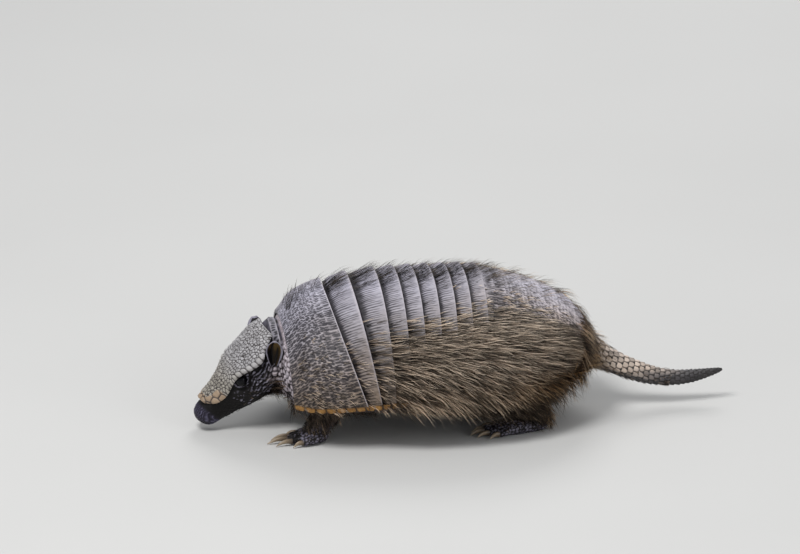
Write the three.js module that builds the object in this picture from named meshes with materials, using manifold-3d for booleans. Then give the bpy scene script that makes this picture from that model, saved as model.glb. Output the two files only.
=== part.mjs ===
// Big hairy armadillo, life size, walking with its head down. Millimetres.
// The animal faces -X and its left side is -Y. Z = 0 is the ground under its soles.
// The origin is on the ground, under the middle of the overall box.

import * as THREE from 'three';
import { mergeVertices } from 'three/addons/utils/BufferGeometryUtils.js';
import Module from 'manifold-3d';

const wasm = await Module();
wasm.setup();

// ---------- driving dimensions ----------

const GAP = 0.3; // clearance between neighbouring pieces
const PLATE = 3; // thickness of the shell's plates
const SHELL_SIDES = 20; // facets across the back

// Shell: centre x | centre z, lean of the section (degrees, top towards the head), half width,
// rise, turn from the top of the back to the lower edge (degrees).
const SHELL = [
  [-141, 47, 4, 62, 43, 108],
  [-122, 46.5, 11, 73, 58, 103],
  [-86.5, 48, 19, 80, 68, 100],
  [-64.5, 50.5, 4, 82, 69, 100],
  [-28, 53.5, -2.5, 83, 66.5, 100],
  [11, 55.5, -5, 81, 63, 100],
  [49, 56, -10, 72, 51.5, 100],
  [74, 55, -16, 58, 40, 100],
  [88, 53, -22, 42, 28, 100],
  [95, 51, -25, 29, 19, 100],
];
const SHELL_FRONT = -141;
const SCAPULAR_REAR = -86.5; // rear edge of the shoulder shield
const PELVIC_FRONT = 11; // front edge of the pelvic shield
const SHELL_REAR = 95;
const BANDS = 8; // movable bands between the two shields
const BAND_GAP = 0.4; // along the back, between one band and the next
const BAND_STEP = 1.8; // how far a band's rear edge stands over the next band
const SCAPULAR_STEPS = 5; // lengths of each shield along the back
const PELVIC_STEPS = 6;
const PELVIC_CROWDING = 0.4; // how much closer the pelvic shield's sections stand at the rear

// Bristles over the back: facets of the shell that they cover on either side of its middle, lift
// of their underside over the shell, and thickness along their sides.
const BRISTLES = { facets: 3, clear: 2.2, edge: 0.8 };
// Centre x | lift of the bristles' tips over the middle of the back.
const BRISTLE_TIPS = [
  [-130, 4],
  [-100, 5.4],
  [-60, 7],
  [0, 7],
  [50, 5.6],
  [86, 4.4],
];

// Underside of the trunk: centre x | belly z, squareness of the lower section.
const BELLY = [
  [-139, 22, 2.2],
  [-110, 20, 2.3],
  [-60, 18, 2.6],
  [0, 14, 3],
  [40, 12, 3.2],
  [62, 13, 2.8],
  [72, 19, 2.4],
  [80, 29, 2.1],
  [88, 40, 2],
  [96, 44, 2],
];
const BELLY_SIDES = 11;
const UNDER_SHELL = 0.35; // clearance between the trunk and the plates over it
const CHEST_INSET = 2; // how far the chest starts behind the shell's front edge
const BELLY_LEAN = 0.4; // share of the shell's lean that the belly follows
const RUMP_CAPS = [ // set back from the last section, and its scale
  [4, 0.86],
  [7.5, 0.6],
];

// Neck: centre x | centre z, lean, half width, rise, drop.
const NECK = [
  [-155, 60, 8, 20, 22, 26],
  [-149, 56, 8, 25, 28, 30],
  [-143.5, 53, 7, 36, 31, 30],
  [-139, 50, 5, 48, 33, 28],
  [-134, 50, 5, 52, 33, 28],
];
const NECK_SIDES = 24;
const NUCHAL = { front: -149, rear: -143.5, turn: 45, off: 0.4, thickness: 2.2, sides: 6 };

// Head: its own group, with the nose towards the group's -X and the forehead towards +Z.
const HEAD_ORIGIN = [-161.6, 0, 85.6]; // back of the head shield, on the midline
const HEAD_PITCH = 50.5; // degrees nose-down
const HEAD_YAW = 8; // degrees towards the animal's left
// Distance ahead of the head's origin | half width, top, bottom.
const HEAD = [
  [-8, 20, -7, -44],
  [6, 23, -5, -44],
  [18, 26, -3.5, -43],
  [30, 27.5, -2.8, -42.5],
  [43, 24.5, -2.6, -40.5],
  [56, 18.5, -2.4, -36.5],
  [66, 15, -2.4, -31.5],
  [76, 12.5, -2.6, -26.5],
  [84, 11.2, -3, -23.5],
  [89, 8.5, -5, -20.5],
  [91, 5, -8, -17],
];
// The back of the head is flat, from the nape to the throat: how far ahead, how far up.
const NAPE = [-8, -2];
const THROAT = [30, -44];
const HEAD_SIDES = 18;
const HEAD_POWER = 2.4; // squareness of the head's sections
const HEAD_WIDEST = 0.45; // depth of the widest level, as a share of the section's height

// Head shield: distance ahead of the head's origin | top, half width, droop of its edge.
const SHIELD = [
  [-1, -3, 18, 4],
  [5, -1.6, 23, 5],
  [11, -0.7, 26, 6],
  [19.6, 0, 31, 9.2],
  [30, 0, 29.5, 7],
  [36, 0, 27, 4.9],
  [45.5, 0, 22, 4.5],
  [56, 0, 18, 8],
  [63, 0, 16, 9],
  [71, 0, 13.5, 6.5],
  [76.5, -0.4, 7, 1.5],
];
const SHIELD_SIDES = 8;
const SHIELD_THICKNESS = 2.2;
const SHIELD_CURVE = 2.3; // how late across the head the shield bends down
const SHIELD_HEADROOM = 20; // how far over the shield the head is cut away

// Eyes and ears, in the head's group: ahead, outward from the midline, up.
const EYE = { ahead: 43, out: 19, up: -10.8, radius: 5.2 };
const EAR = {
  base: [17.5, 28.5, -21.5],
  tip: [1.4, 31.5, -8],
  opening: [0.45, 0.9, 0], // the way the cup faces
  half: 6.8,
  cup: 3.6,
  thickness: 1.3,
  rim: 0.6, // thickness of the edge, as a share
  across: 4,
  along: 5,
};
// Along the ear | share of the full half width.
const EAR_OUTLINE = [
  [0, 0.42],
  [0.3, 0.78],
  [0.6, 1],
  [0.85, 0.78],
  [1, 0.3],
];

// Tail centre line, from inside the rump to the tip: x, z, radius.
const TAIL = [
  [96, 54, 11],
  [105.9, 50.4, 10.2],
  [117.2, 41.7, 9.2],
  [130.1, 34.7, 8.5],
  [143, 28.9, 8],
  [154.3, 24.9, 7.2],
  [164, 22.6, 6.5],
  [176.2, 21.4, 5.8],
  [188.3, 22, 5],
  [200.4, 23.8, 3.6],
  [211, 25.9, 1.9],
  [214, 26.5, 0.7],
];
const TAIL_SIDES = 10;
const TAIL_CUTS = [0, 4, 7, 11]; // rows where one length ends and the next starts
const TAIL_NAMES = ['tail_root', 'tail_middle', 'tail_tip'];

// Feet. Each digit: outward place of its root, reach ahead of the sole's centre, claw length.
const FORE = {
  heel: 13,
  front: 9,
  half: 12,
  height: 13,
  toe: 3.3,
  digits: [
    [-11.8, 9, 9],
    [-6, 16, 14],
    [0, 18.5, 16],
    [6, 16, 13],
    [11.8, 8.5, 8],
  ],
};
const HIND = {
  heel: 31,
  front: 12,
  half: 11.5,
  height: 14,
  toe: 3.2,
  digits: [
    [-11.2, 12.5, 8],
    [-5.7, 19, 10],
    [0, 21, 11],
    [5.7, 18.5, 10],
    [11.2, 12, 8],
  ],
};
// Limb lengths, from inside the trunk down to the foot: ahead of and outward from the sole's
// centre, height, radius.
const FORE_LIMB = [
  [-26, 4, 48, 17],
  [-18, 3, 32, 14],
  [-9, 1, 17, 11],
  [-4, 0, 8, 10],
];
const HIND_LIMB = [
  [-2, 0, 42, 17],
  [-10, 1, 31, 16],
  [-21, 1, 17, 12],
  [-22, 0, 9, 10],
];
const LEGS = [
  { name: 'foreleg_left', side: -1, foot: FORE, limb: FORE_LIMB, x: -126, out: 45, splay: 6 },
  { name: 'foreleg_right', side: 1, foot: FORE, limb: FORE_LIMB, x: -101, out: 45, splay: 8 },
  { name: 'hindleg_left', side: -1, foot: HIND, limb: HIND_LIMB, x: 33, out: 47, splay: 10 },
  { name: 'hindleg_right', side: 1, foot: HIND, limb: HIND_LIMB, x: 50, out: 46, splay: 10 },
];
const PAW_SIDES = 8;
const TOE_SIDES = 5;
const SOLE_DIP = 2; // depth cut off under each foot to make its flat sole
// A paw from heel to toes: share of the way | share of the half width, share of the height.
const PAW = [
  [0, 0.55, 0.6],
  [0.2, 0.85, 1],
  [0.65, 1, 0.85],
  [1, 0.8, 0.55],
];
// A digit's centre line: how far behind its end, share of its outward place, height over the
// toe's radius, share of the toe's radius.
const DIGIT = [
  [15, 0.7, 1.2, 1],
  [7, 0.9, 1.6, 1],
  [0, 1, -0.2, 0.78],
];
// A claw: half its root's width and height, half its tip's, its straight root's length, how high
// its back arches, and the height of its tip.
const CLAW = { half: 1.5, height: 2.2, tip: 0.3, root: 0.8, rise: 1.5, lowest: 0.8, sides: 4 };

const GROUND = { length: 600, width: 400, depth: 40 };

// ---------- materials ----------

const material = (color, roughness) =>
  new THREE.MeshStandardMaterial({ color, roughness, metalness: 0 });
const SKIN = material(0x4a3f3d, 0.8);
const PLATE_HORN = material(0x6f645f, 0.6);
const SHIELD_HORN = material(0x8b7d70, 0.65);
const TAIL_SKIN = material(0x77695b, 0.7);
const HAIR = material(0x4b3d30, 0.9);
const CLAW_HORN = material(0x8d7f6c, 0.45);
const EYE_DARK = material(0x0c0a0a, 0.1);

// ---------- numbers and tables ----------

const radians = THREE.MathUtils.degToRad;
const between = THREE.MathUtils.lerp;
const UP = new THREE.Vector3(0, 0, 1);
const signedPower = (value, power) => Math.sign(value) * Math.abs(value) ** power;
const steps = (count) => Array.from({ length: count + 1 }, (_, i) => i / count);

/** Reads a table of rows [key, value, value, ...] at any key, smoothly between its rows. */
function rowAt(rows, key) {
  let i = 0;
  while (i < rows.length - 2 && key > rows[i + 1][0]) i += 1;
  const [start, end] = [rows[i], rows[i + 1]];
  const before = rows[Math.max(i - 1, 0)];
  const after = rows[Math.min(i + 2, rows.length - 1)];
  const span = end[0] - start[0];
  const s = THREE.MathUtils.clamp((key - start[0]) / span, 0, 1);
  return start.slice(1).map((value, index) => {
    const column = index + 1;
    const slopeIn = (end[column] - before[column]) / (end[0] - before[0]);
    const slopeOut = (after[column] - start[column]) / (after[0] - start[0]);
    return (
      value * (2 * s ** 3 - 3 * s ** 2 + 1) +
      slopeIn * span * (s ** 3 - 2 * s ** 2 + s) +
      end[column] * (3 * s ** 2 - 2 * s ** 3) +
      slopeOut * span * (s ** 3 - s ** 2)
    );
  });
}

// ---------- closed surfaces ----------

/** A geometry from points and triangles, turned so that its faces point out. */
function closedGeometry(points, faces) {
  const normal = new THREE.Vector3();
  let volume = 0;
  for (let i = 0; i < faces.length; i += 3) {
    const [a, b, c] = [points[faces[i]], points[faces[i + 1]], points[faces[i + 2]]];
    volume += normal.crossVectors(b, c).dot(a);
  }
  const outward = volume > 0 ? faces : faces.toReversed();
  const geometry = new THREE.BufferGeometry().setFromPoints(points);
  return geometry.setIndex(outward);
}

/** A closed solid through rings of points, all with the same number of points. */
function loft(rings) {
  const sides = rings[0].length;
  const points = rings.flat();
  const faces = [];
  for (let j = 0; j + 1 < rings.length; j += 1) {
    for (let i = 0; i < sides; i += 1) {
      const [a, b] = [j * sides + i, j * sides + ((i + 1) % sides)];
      faces.push(a, b, b + sides, a, b + sides, a + sides);
    }
  }
  for (const [ring, first] of [[rings[0], 0], [rings.at(-1), sides * (rings.length - 1)]]) {
    const middle = ring.reduce((sum, p) => sum.add(p), new THREE.Vector3()).divideScalar(sides);
    const centre = points.push(middle) - 1;
    for (let i = 0; i < sides; i += 1) {
      const [a, b] = [first + i, first + ((i + 1) % sides)];
      if (first === 0) faces.push(b, a, centre);
      else faces.push(a, b, centre);
    }
  }
  return closedGeometry(points, faces);
}

/** A plate between an outer and an inner surface, each a function of (across, along) in 0..1. */
function sheet(outer, inner, across, along) {
  const points = [];
  for (const surface of [outer, inner]) {
    for (const v of along) {
      for (const u of steps(across)) points.push(surface(u, v));
    }
  }
  const rows = along.length;
  const at = (i, j, side) => (side * rows + j) * (across + 1) + i;
  const faces = [];
  const quad = (a, b, c, d) => faces.push(a, b, c, a, c, d);
  for (let j = 0; j + 1 < rows; j += 1) {
    for (let i = 0; i < across; i += 1) {
      quad(at(i, j, 0), at(i + 1, j, 0), at(i + 1, j + 1, 0), at(i, j + 1, 0));
      quad(at(i, j, 1), at(i, j + 1, 1), at(i + 1, j + 1, 1), at(i + 1, j, 1));
    }
    quad(at(0, j, 0), at(0, j + 1, 0), at(0, j + 1, 1), at(0, j, 1));
    quad(at(across, j, 1), at(across, j + 1, 1), at(across, j + 1, 0), at(across, j, 0));
  }
  for (let i = 0; i < across; i += 1) {
    quad(at(i, 0, 1), at(i + 1, 0, 1), at(i + 1, 0, 0), at(i, 0, 0));
    const rear = rows - 1;
    quad(at(i, rear, 0), at(i + 1, rear, 0), at(i + 1, rear, 1), at(i, rear, 1));
  }
  return closedGeometry(points, faces);
}

/** Rings round a line of [point, half width, half height] stops, their width square to `up`. */
function tubeRings(stops, sides, up) {
  return stops.map(([point, half, height], i) => {
    const from = stops[Math.max(i - 1, 0)][0];
    const to = stops[Math.min(i + 1, stops.length - 1)][0];
    const tangent = to.clone().sub(from).normalize();
    const sideways = new THREE.Vector3().crossVectors(tangent, up).normalize();
    const upward = new THREE.Vector3().crossVectors(sideways, tangent);
    return steps(sides).slice(0, -1).map((share) => {
      const angle = 2 * Math.PI * share;
      return point.clone()
        .addScaledVector(sideways, half * Math.cos(angle))
        .addScaledVector(upward, height * Math.sin(angle));
    });
  });
}

const tube = (stops, sides, up) => loft(tubeRings(stops, sides, up));

// ---------- joining and cutting ----------

function toSolid(geometry) {
  const bare = geometry.clone();
  bare.deleteAttribute('normal');
  bare.deleteAttribute('uv');
  const merged = mergeVertices(bare, 1e-4);
  const vertProperties = merged.attributes.position.array;
  const triVerts = new Uint32Array(merged.index.array);
  return new wasm.Manifold(new wasm.Mesh({ numProp: 3, vertProperties, triVerts }));
}

function toGeometry(solid) {
  const { vertProperties, triVerts } = solid.getMesh();
  const geometry = new THREE.BufferGeometry();
  geometry.setAttribute('position', new THREE.BufferAttribute(vertProperties, 3));
  return geometry.setIndex(new THREE.BufferAttribute(triVerts, 1));
}

function join(geometries) {
  return toGeometry(geometries.map(toSolid).reduce((whole, piece) => whole.add(piece)));
}

/** Cuts away the tools and keeps the largest body that is left. */
function cut(geometry, ...tools) {
  const left = tools.map(toSolid).reduce((whole, tool) => whole.subtract(tool), toSolid(geometry));
  const bodies = left.decompose().sort((a, b) => b.volume() - a.volume());
  return toGeometry(bodies[0]);
}

// ---------- shell ----------

/** A point over the back: centre x, place across it from the left edge (0) to the right, lift. */
function shellPoint(x, across, lift) {
  const [z, lean, half, rise, margin] = rowAt(SHELL, x);
  const turn = radians(margin) * (2 * across - 1);
  const up = (rise + lift) * Math.cos(turn);
  return new THREE.Vector3(
    x - up * Math.sin(radians(lean)),
    (half + lift) * Math.sin(turn),
    z + up * Math.cos(radians(lean)),
  );
}

/** The centre x where band `i` starts, counting from 0. */
const bandEdge = (i) => between(SCAPULAR_REAR, PELVIC_FRONT, i / BANDS);

const pelvicSteps = steps(PELVIC_STEPS).map((s) => s * (1 + PELVIC_CROWDING * (1 - s)));

/** One plate of the shell between two centre x values, its rear edge raised by `step`. */
function shellPlate(front, rear, along, step) {
  const x = (v) => between(front, rear, v);
  return sheet(
    (u, v) => shellPoint(x(v), u, step * v),
    (u, v) => shellPoint(x(v), u, -PLATE),
    SHELL_SIDES,
    along,
  );
}

function shellPlates() {
  const plates = new Map();
  plates.set(
    'scapular_shield',
    shellPlate(SHELL_FRONT, SCAPULAR_REAR - BAND_GAP / 2, steps(SCAPULAR_STEPS), BAND_STEP),
  );
  for (let i = 0; i < BANDS; i += 1) {
    const front = bandEdge(i) + BAND_GAP / 2;
    const rear = bandEdge(i + 1) - BAND_GAP / 2;
    plates.set(`band_${i + 1}`, shellPlate(front, rear, steps(1), BAND_STEP));
  }
  plates.set(
    'pelvic_shield',
    shellPlate(PELVIC_FRONT + BAND_GAP / 2, SHELL_REAR, pelvicSteps, 0),
  );
  return plates;
}

/** Centre x values where the plates and the trunk have their sections, from front to rear. */
const sections = [
  ...steps(SCAPULAR_STEPS).map((s) => between(SHELL_FRONT, SCAPULAR_REAR, s)),
  ...steps(BANDS).slice(1).map((s) => between(SCAPULAR_REAR, PELVIC_FRONT, s)),
  ...pelvicSteps.slice(1).map((s) => between(PELVIC_FRONT, SHELL_REAR, s)),
];

/** The bristles' outer form, which lies over the back from the shoulders to the rump. */
function bristles() {
  const { facets, clear, edge } = BRISTLES;
  const stops = sections.slice(1, -1);
  const x = (v) => stops[Math.round(v * (stops.length - 1))];
  const across = (u) => 0.5 + ((2 * u - 1) * facets) / SHELL_SIDES;
  const tips = (u, v) => between(rowAt(BRISTLE_TIPS, x(v))[0], clear + edge, (2 * u - 1) ** 2);
  return sheet(
    (u, v) => shellPoint(x(v), across(u), tips(u, v)),
    (u, v) => shellPoint(x(v), across(u), clear),
    2 * facets,
    steps(stops.length - 1),
  );
}

// ---------- trunk and neck ----------

/** A section of the trunk, inside the shell above and free below. */
function trunkRing(x, swell) {
  const upper = steps(SHELL_SIDES).map((u) => shellPoint(x, 1 - u, swell - PLATE - UNDER_SHELL));
  const margin = upper[0];
  const lean = rowAt(SHELL, x)[1];
  const [belly, power] = rowAt(BELLY, x);
  const lower = [];
  for (let i = 1; i < BELLY_SIDES; i += 1) {
    const angle = Math.PI * (1 + i / BELLY_SIDES);
    const z = margin.z + (margin.z - belly + swell) * signedPower(Math.sin(angle), 2 / power);
    const y = margin.y * signedPower(Math.cos(angle), 2 / power);
    const back = (margin.z - z) * Math.tan(radians(lean)) * BELLY_LEAN;
    lower.push(new THREE.Vector3(margin.x + back, y, z));
  }
  return [...upper, ...lower];
}

/** The trunk, swollen by `swell` when it serves to cut its neighbours. */
function trunkGeometry(swell) {
  const chest = SHELL_FRONT + CHEST_INSET - swell;
  const rings = [chest, ...sections.slice(1)].map((x) => trunkRing(x, swell));
  const last = rings.at(-1);
  const centre = last.reduce((sum, p) => sum.add(p), new THREE.Vector3()).divideScalar(last.length);
  for (const [back, scale] of RUMP_CAPS) {
    rings.push(last.map((p) => {
      const moved = p.clone().sub(centre).multiplyScalar(scale).add(centre);
      moved.x += back + swell;
      return moved;
    }));
  }
  return loft(rings);
}

function neckPoint(x, turn, lift) {
  const [z, lean, half, rise, drop] = rowAt(NECK, x);
  const height = Math.cos(turn) > 0 ? rise : drop;
  const up = (height + lift) * Math.cos(turn);
  return new THREE.Vector3(
    x - up * Math.sin(radians(lean)),
    (half + lift) * Math.sin(turn),
    z + up * Math.cos(radians(lean)),
  );
}

function neckGeometry(swell) {
  const around = steps(NECK_SIDES).slice(0, -1);
  return loft(NECK.map(([x]) => around.map((share) => neckPoint(x, 2 * Math.PI * share, swell))));
}

function nuchalBand() {
  const { front, rear, turn, off, thickness, sides } = NUCHAL;
  const surface = (lift) => (u, v) =>
    neckPoint(between(front, rear, v), radians(turn) * (2 * u - 1), lift);
  return sheet(surface(off + thickness), surface(off), sides, steps(1));
}

// ---------- head ----------

/** A point in the head's group, from how far ahead, outward (side -1 is left) and up it is. */
const inHead = ([ahead, out, up], side = 1) => new THREE.Vector3(-ahead, side * out, up);

function headGeometry(swell) {
  const rings = HEAD.map(([ahead, half, top, bottom]) => {
    const level = top - HEAD_WIDEST * (top - bottom);
    return steps(HEAD_SIDES).slice(0, -1).map((share) => {
      const angle = 2 * Math.PI * share;
      const rise = Math.cos(angle) > 0 ? top - level : level - bottom;
      return inHead([
        ahead,
        (half + swell) * signedPower(Math.sin(angle), 2 / HEAD_POWER),
        level + (rise + swell) * signedPower(Math.cos(angle), 2 / HEAD_POWER),
      ]);
    });
  });
  return loft(rings);
}

/** The head as far back as the neck. */
function headBody(swell) {
  const size = 160;
  const behind = new THREE.BoxGeometry(size, size, size).translate(size / 2 + swell, 0, 0);
  behind.rotateY(Math.atan2(THROAT[0] - NAPE[0], NAPE[1] - THROAT[1]));
  behind.translate(-(NAPE[0] + THROAT[0]) / 2, 0, (NAPE[1] + THROAT[1]) / 2);
  return cut(headGeometry(swell), behind);
}

/** The head shield between two lifts over the forehead, its rim grown by `grow`. */
function shieldGeometry(over, under, grow) {
  const keys = SHIELD.map(([ahead]) => ahead);
  const surface = (lift) => (u, v) => {
    const row = Math.round(v * (keys.length - 1));
    const [ahead, top, half, droop] = SHIELD[row];
    const q = 2 * u - 1;
    const end = row === 0 ? -grow : row === keys.length - 1 ? grow : 0;
    return inHead([
      ahead + end,
      (half + grow) * q,
      top + lift - droop * Math.abs(q) ** SHIELD_CURVE,
    ]);
  };
  return sheet(surface(over), surface(under), SHIELD_SIDES, steps(keys.length - 1));
}

function earGeometry(side) {
  const base = inHead(EAR.base, side);
  const axis = inHead(EAR.tip, side).sub(base);
  const opening = inHead(EAR.opening, side);
  opening.addScaledVector(axis, -opening.dot(axis) / axis.lengthSq()).normalize();
  const across = new THREE.Vector3().crossVectors(axis, opening).normalize();
  const surface = (back) => (u, v) => {
    const [share] = rowAt(EAR_OUTLINE, v);
    const q = 2 * u - 1;
    const curl = EAR.cup * share * (q * q - 1);
    const thin = between(1, EAR.rim, q * q);
    return base.clone()
      .addScaledVector(axis, v)
      .addScaledVector(across, EAR.half * share * q)
      .addScaledVector(opening, curl - back * EAR.thickness * thin);
  };
  return sheet(surface(0), surface(1), EAR.across, steps(EAR.along));
}

const headGroup = new THREE.Group();
headGroup.position.set(...HEAD_ORIGIN);
headGroup.rotation.set(0, radians(-HEAD_PITCH), radians(HEAD_YAW), 'ZYX');
headGroup.updateMatrixWorld(true);

function eyeGeometry(radius, side) {
  const centre = inHead([EYE.ahead, EYE.out, EYE.up], side);
  return new THREE.SphereGeometry(radius, 10, 6).translate(centre.x, centre.y, centre.z);
}

// ---------- tail ----------

/** The tail between two rows of its table; each length but the first starts a gap later. */
function tailLength(first, last) {
  const stops = TAIL.map(([x, z, radius]) => [new THREE.Vector3(x, 0, z), radius, radius]);
  const rings = tubeRings(stops, TAIL_SIDES, UP);
  const [before, start, after] = [-1, 0, 1].map((i) => stops[Math.max(first + i, 0)][0]);
  const onward = after.clone().sub(first > 0 ? before : start).setLength(first > 0 ? GAP : 0);
  return loft([
    rings[first].map((point) => point.clone().add(onward)),
    ...rings.slice(first + 1, last + 1),
  ]);
}

// ---------- legs ----------

/** A point of a foot: ahead of the sole's centre, outward, and up. */
function footPoint(leg, ahead, out, up) {
  const turn = radians(leg.splay);
  return new THREE.Vector3(
    leg.x - ahead * Math.cos(turn) + out * Math.sin(turn),
    leg.side * (leg.out + ahead * Math.sin(turn) + out * Math.cos(turn)),
    up,
  );
}

function pawGeometry(leg) {
  const { heel, front, half, height } = leg.foot;
  const stops = PAW.map(([share, wide, high]) => {
    const tall = (height * high + SOLE_DIP) / 2;
    const ahead = between(-heel, front, share);
    return [footPoint(leg, ahead, 0, tall - SOLE_DIP), half * wide, tall];
  });
  return tube(stops, PAW_SIDES, UP);
}

/** A digit's centre line as stops: root, knuckle and end. */
function digitStops(leg, [out, reach]) {
  const { toe } = leg.foot;
  return DIGIT.map(([behind, outward, lift, radius]) => [
    footPoint(leg, reach - behind, out * outward, toe + lift),
    toe * radius,
    toe * radius,
  ]);
}

const toeGeometry = (leg, digit) => tube(digitStops(leg, digit), TOE_SIDES, UP);

function clawGeometry(leg, digit) {
  const [, [knuckle], [end]] = digitStops(leg, digit);
  const length = digit[2];
  const forward = end.clone().sub(knuckle).normalize();
  const level = new THREE.Vector3(forward.x, forward.y, 0).normalize();
  const root = end.clone().addScaledVector(forward, GAP);
  const bed = root.clone().addScaledVector(forward, CLAW.root);
  const blade = [0, 0.5, 1].map((share) => {
    const point = bed.clone().addScaledVector(level, (length - CLAW.root) * share);
    const arch = CLAW.rise * Math.sin(Math.PI * share);
    point.z = between(bed.z, CLAW.lowest, share ** 1.4) + arch;
    const thin = 1 - share ** 1.5;
    return [point, between(CLAW.tip, CLAW.half, thin), between(CLAW.tip, CLAW.height, thin)];
  });
  const stops = [[root, CLAW.half, CLAW.height], ...blade];
  return tube(stops, CLAW.sides, UP);
}

function limbGeometry(leg) {
  const stops = leg.limb.map(([ahead, out, up, radius]) =>
    [footPoint(leg, ahead, out, up), radius, radius]);
  return tube(stops, PAW_SIDES, new THREE.Vector3(1, 0, 0));
}

/** A block below the ground, which the soles are cut flat against. */
function underground() {
  const { length, width, depth } = GROUND;
  return new THREE.BoxGeometry(length, width, depth).translate(0, 0, -depth / 2);
}

function legGeometry(leg) {
  const toes = leg.foot.digits.map((digit) => toeGeometry(leg, digit));
  const whole = join([limbGeometry(leg), pawGeometry(leg), ...toes]);
  return cut(whole, underground(), trunkGeometry(GAP));
}

// ---------- the animal ----------

const armadillo = new THREE.Group();

function addPiece(name, geometry, look, parent = armadillo) {
  const mesh = new THREE.Mesh(geometry, look);
  mesh.name = name;
  parent.add(mesh);
}

addPiece('trunk', trunkGeometry(0), SKIN);
for (const [name, geometry] of shellPlates()) addPiece(name, geometry, PLATE_HORN);
addPiece('back_bristles', bristles(), HAIR);

const headRoom = [headBody(GAP), shieldGeometry(GAP, -SHIELD_THICKNESS - 2 * GAP, GAP)]
  .map((geometry) => geometry.applyMatrix4(headGroup.matrixWorld));
addPiece('neck', cut(neckGeometry(0), trunkGeometry(GAP), ...headRoom), SKIN);
addPiece('nuchal_band', cut(nuchalBand(), ...headRoom), PLATE_HORN);

armadillo.add(headGroup);
const sockets = [eyeGeometry(EYE.radius + GAP, -1), eyeGeometry(EYE.radius + GAP, 1)];
const roomForShield = shieldGeometry(SHIELD_HEADROOM, -SHIELD_THICKNESS - 2 * GAP, GAP);
addPiece('head', cut(headBody(0), roomForShield, ...sockets), SKIN, headGroup);
addPiece('head_shield', shieldGeometry(0, -SHIELD_THICKNESS, 0), SHIELD_HORN, headGroup);
const neckRoom = neckGeometry(GAP).applyMatrix4(headGroup.matrixWorld.clone().invert());
for (const [name, side] of [['left', -1], ['right', 1]]) {
  addPiece(`ear_${name}`, cut(earGeometry(side), headBody(GAP), neckRoom), SKIN, headGroup);
  addPiece(`eye_${name}`, eyeGeometry(EYE.radius, side), EYE_DARK, headGroup);
}

TAIL_NAMES.forEach((name, i) => {
  const length = tailLength(TAIL_CUTS[i], TAIL_CUTS[i + 1]);
  addPiece(name, i === 0 ? cut(length, trunkGeometry(GAP)) : length, TAIL_SKIN);
});

for (const leg of LEGS) {
  addPiece(leg.name, legGeometry(leg), SKIN);
  leg.foot.digits.forEach((digit, i) => {
    addPiece(`${leg.name}_claw_${i + 1}`, clawGeometry(leg, digit), CLAW_HORN);
  });
}

export default armadillo;
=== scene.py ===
"""The big hairy armadillo's looks: one skin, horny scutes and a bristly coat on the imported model.

Shapes are in millimetres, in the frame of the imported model, and turn into metres in new_mesh().
"""

import math

import bpy
import numpy as np
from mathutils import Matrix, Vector


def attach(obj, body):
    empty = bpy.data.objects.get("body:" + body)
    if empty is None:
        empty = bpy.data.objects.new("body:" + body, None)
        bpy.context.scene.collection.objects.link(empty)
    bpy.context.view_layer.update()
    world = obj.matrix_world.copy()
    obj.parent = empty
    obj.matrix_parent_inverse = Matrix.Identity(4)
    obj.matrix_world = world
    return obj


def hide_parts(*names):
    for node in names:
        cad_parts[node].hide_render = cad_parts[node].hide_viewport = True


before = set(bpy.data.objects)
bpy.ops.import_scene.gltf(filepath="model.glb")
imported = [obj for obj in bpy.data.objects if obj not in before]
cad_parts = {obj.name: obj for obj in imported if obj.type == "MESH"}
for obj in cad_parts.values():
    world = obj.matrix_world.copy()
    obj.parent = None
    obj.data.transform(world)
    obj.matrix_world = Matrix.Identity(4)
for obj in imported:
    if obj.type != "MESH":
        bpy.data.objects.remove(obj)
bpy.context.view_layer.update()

# ---------- the tables of the solids, as the part has them ----------

PLATE = 3  # thickness of the shell's plates
SHELL = [  # centre x, z, lean, half width, rise, and the margin's turn from the top
    [-141, 47, 4, 62, 43, 108], [-122, 46.5, 11, 73, 58, 103], [-86.5, 48, 19, 80, 68, 100],
    [-64.5, 50.5, 4, 82, 69, 100], [-28, 53.5, -2.5, 83, 66.5, 100], [11, 55.5, -5, 81, 63, 100],
    [49, 56, -10, 72, 51.5, 100], [74, 55, -16, 58, 40, 100], [88, 53, -22, 42, 28, 100],
    [95, 51, -25, 29, 19, 100],
]
SHELL_FRONT, SCAPULAR_REAR, PELVIC_FRONT, SHELL_REAR = -141, -86.5, 11, 95
BANDS, BAND_GAP, BAND_STEP = 8, 0.4, 1.8
BELLY = [  # x, z of its lowest line, and how square its section is
    [-139, 22, 2.2], [-110, 20, 2.3], [-60, 18, 2.6], [0, 14, 3], [40, 12, 3.2], [62, 13, 2.8],
    [72, 19, 2.4], [80, 29, 2.1], [88, 40, 2], [96, 44, 2],
]
BELLY_LEAN = 0.4
NECK = [  # centre x, z, lean, half width, rise and drop
    [-155, 60, 8, 20, 22, 26], [-149, 56, 8, 25, 28, 30], [-143.5, 53, 7, 36, 31, 30],
    [-139, 50, 5, 48, 33, 28], [-134, 50, 5, 52, 33, 28],
]
NUCHAL = {"front": -149, "rear": -143.5, "turn": 45, "off": 0.4, "thickness": 2.2}
HEAD_ORIGIN, HEAD_PITCH, HEAD_YAW = (-161.6, 0, 85.6), 50.5, 8
HEAD = [  # ahead, half width, top and bottom
    [-8, 20, -7, -44], [6, 23, -5, -44], [18, 26, -3.5, -43], [30, 27.5, -2.8, -42.5],
    [43, 24.5, -2.6, -40.5], [56, 18.5, -2.4, -36.5], [66, 15, -2.4, -31.5],
    [76, 12.5, -2.6, -26.5], [84, 11.2, -3, -23.5], [89, 8.5, -5, -20.5], [91, 5, -8, -17],
]
HEAD_POWER, HEAD_WIDEST = 2.4, 0.45
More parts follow.
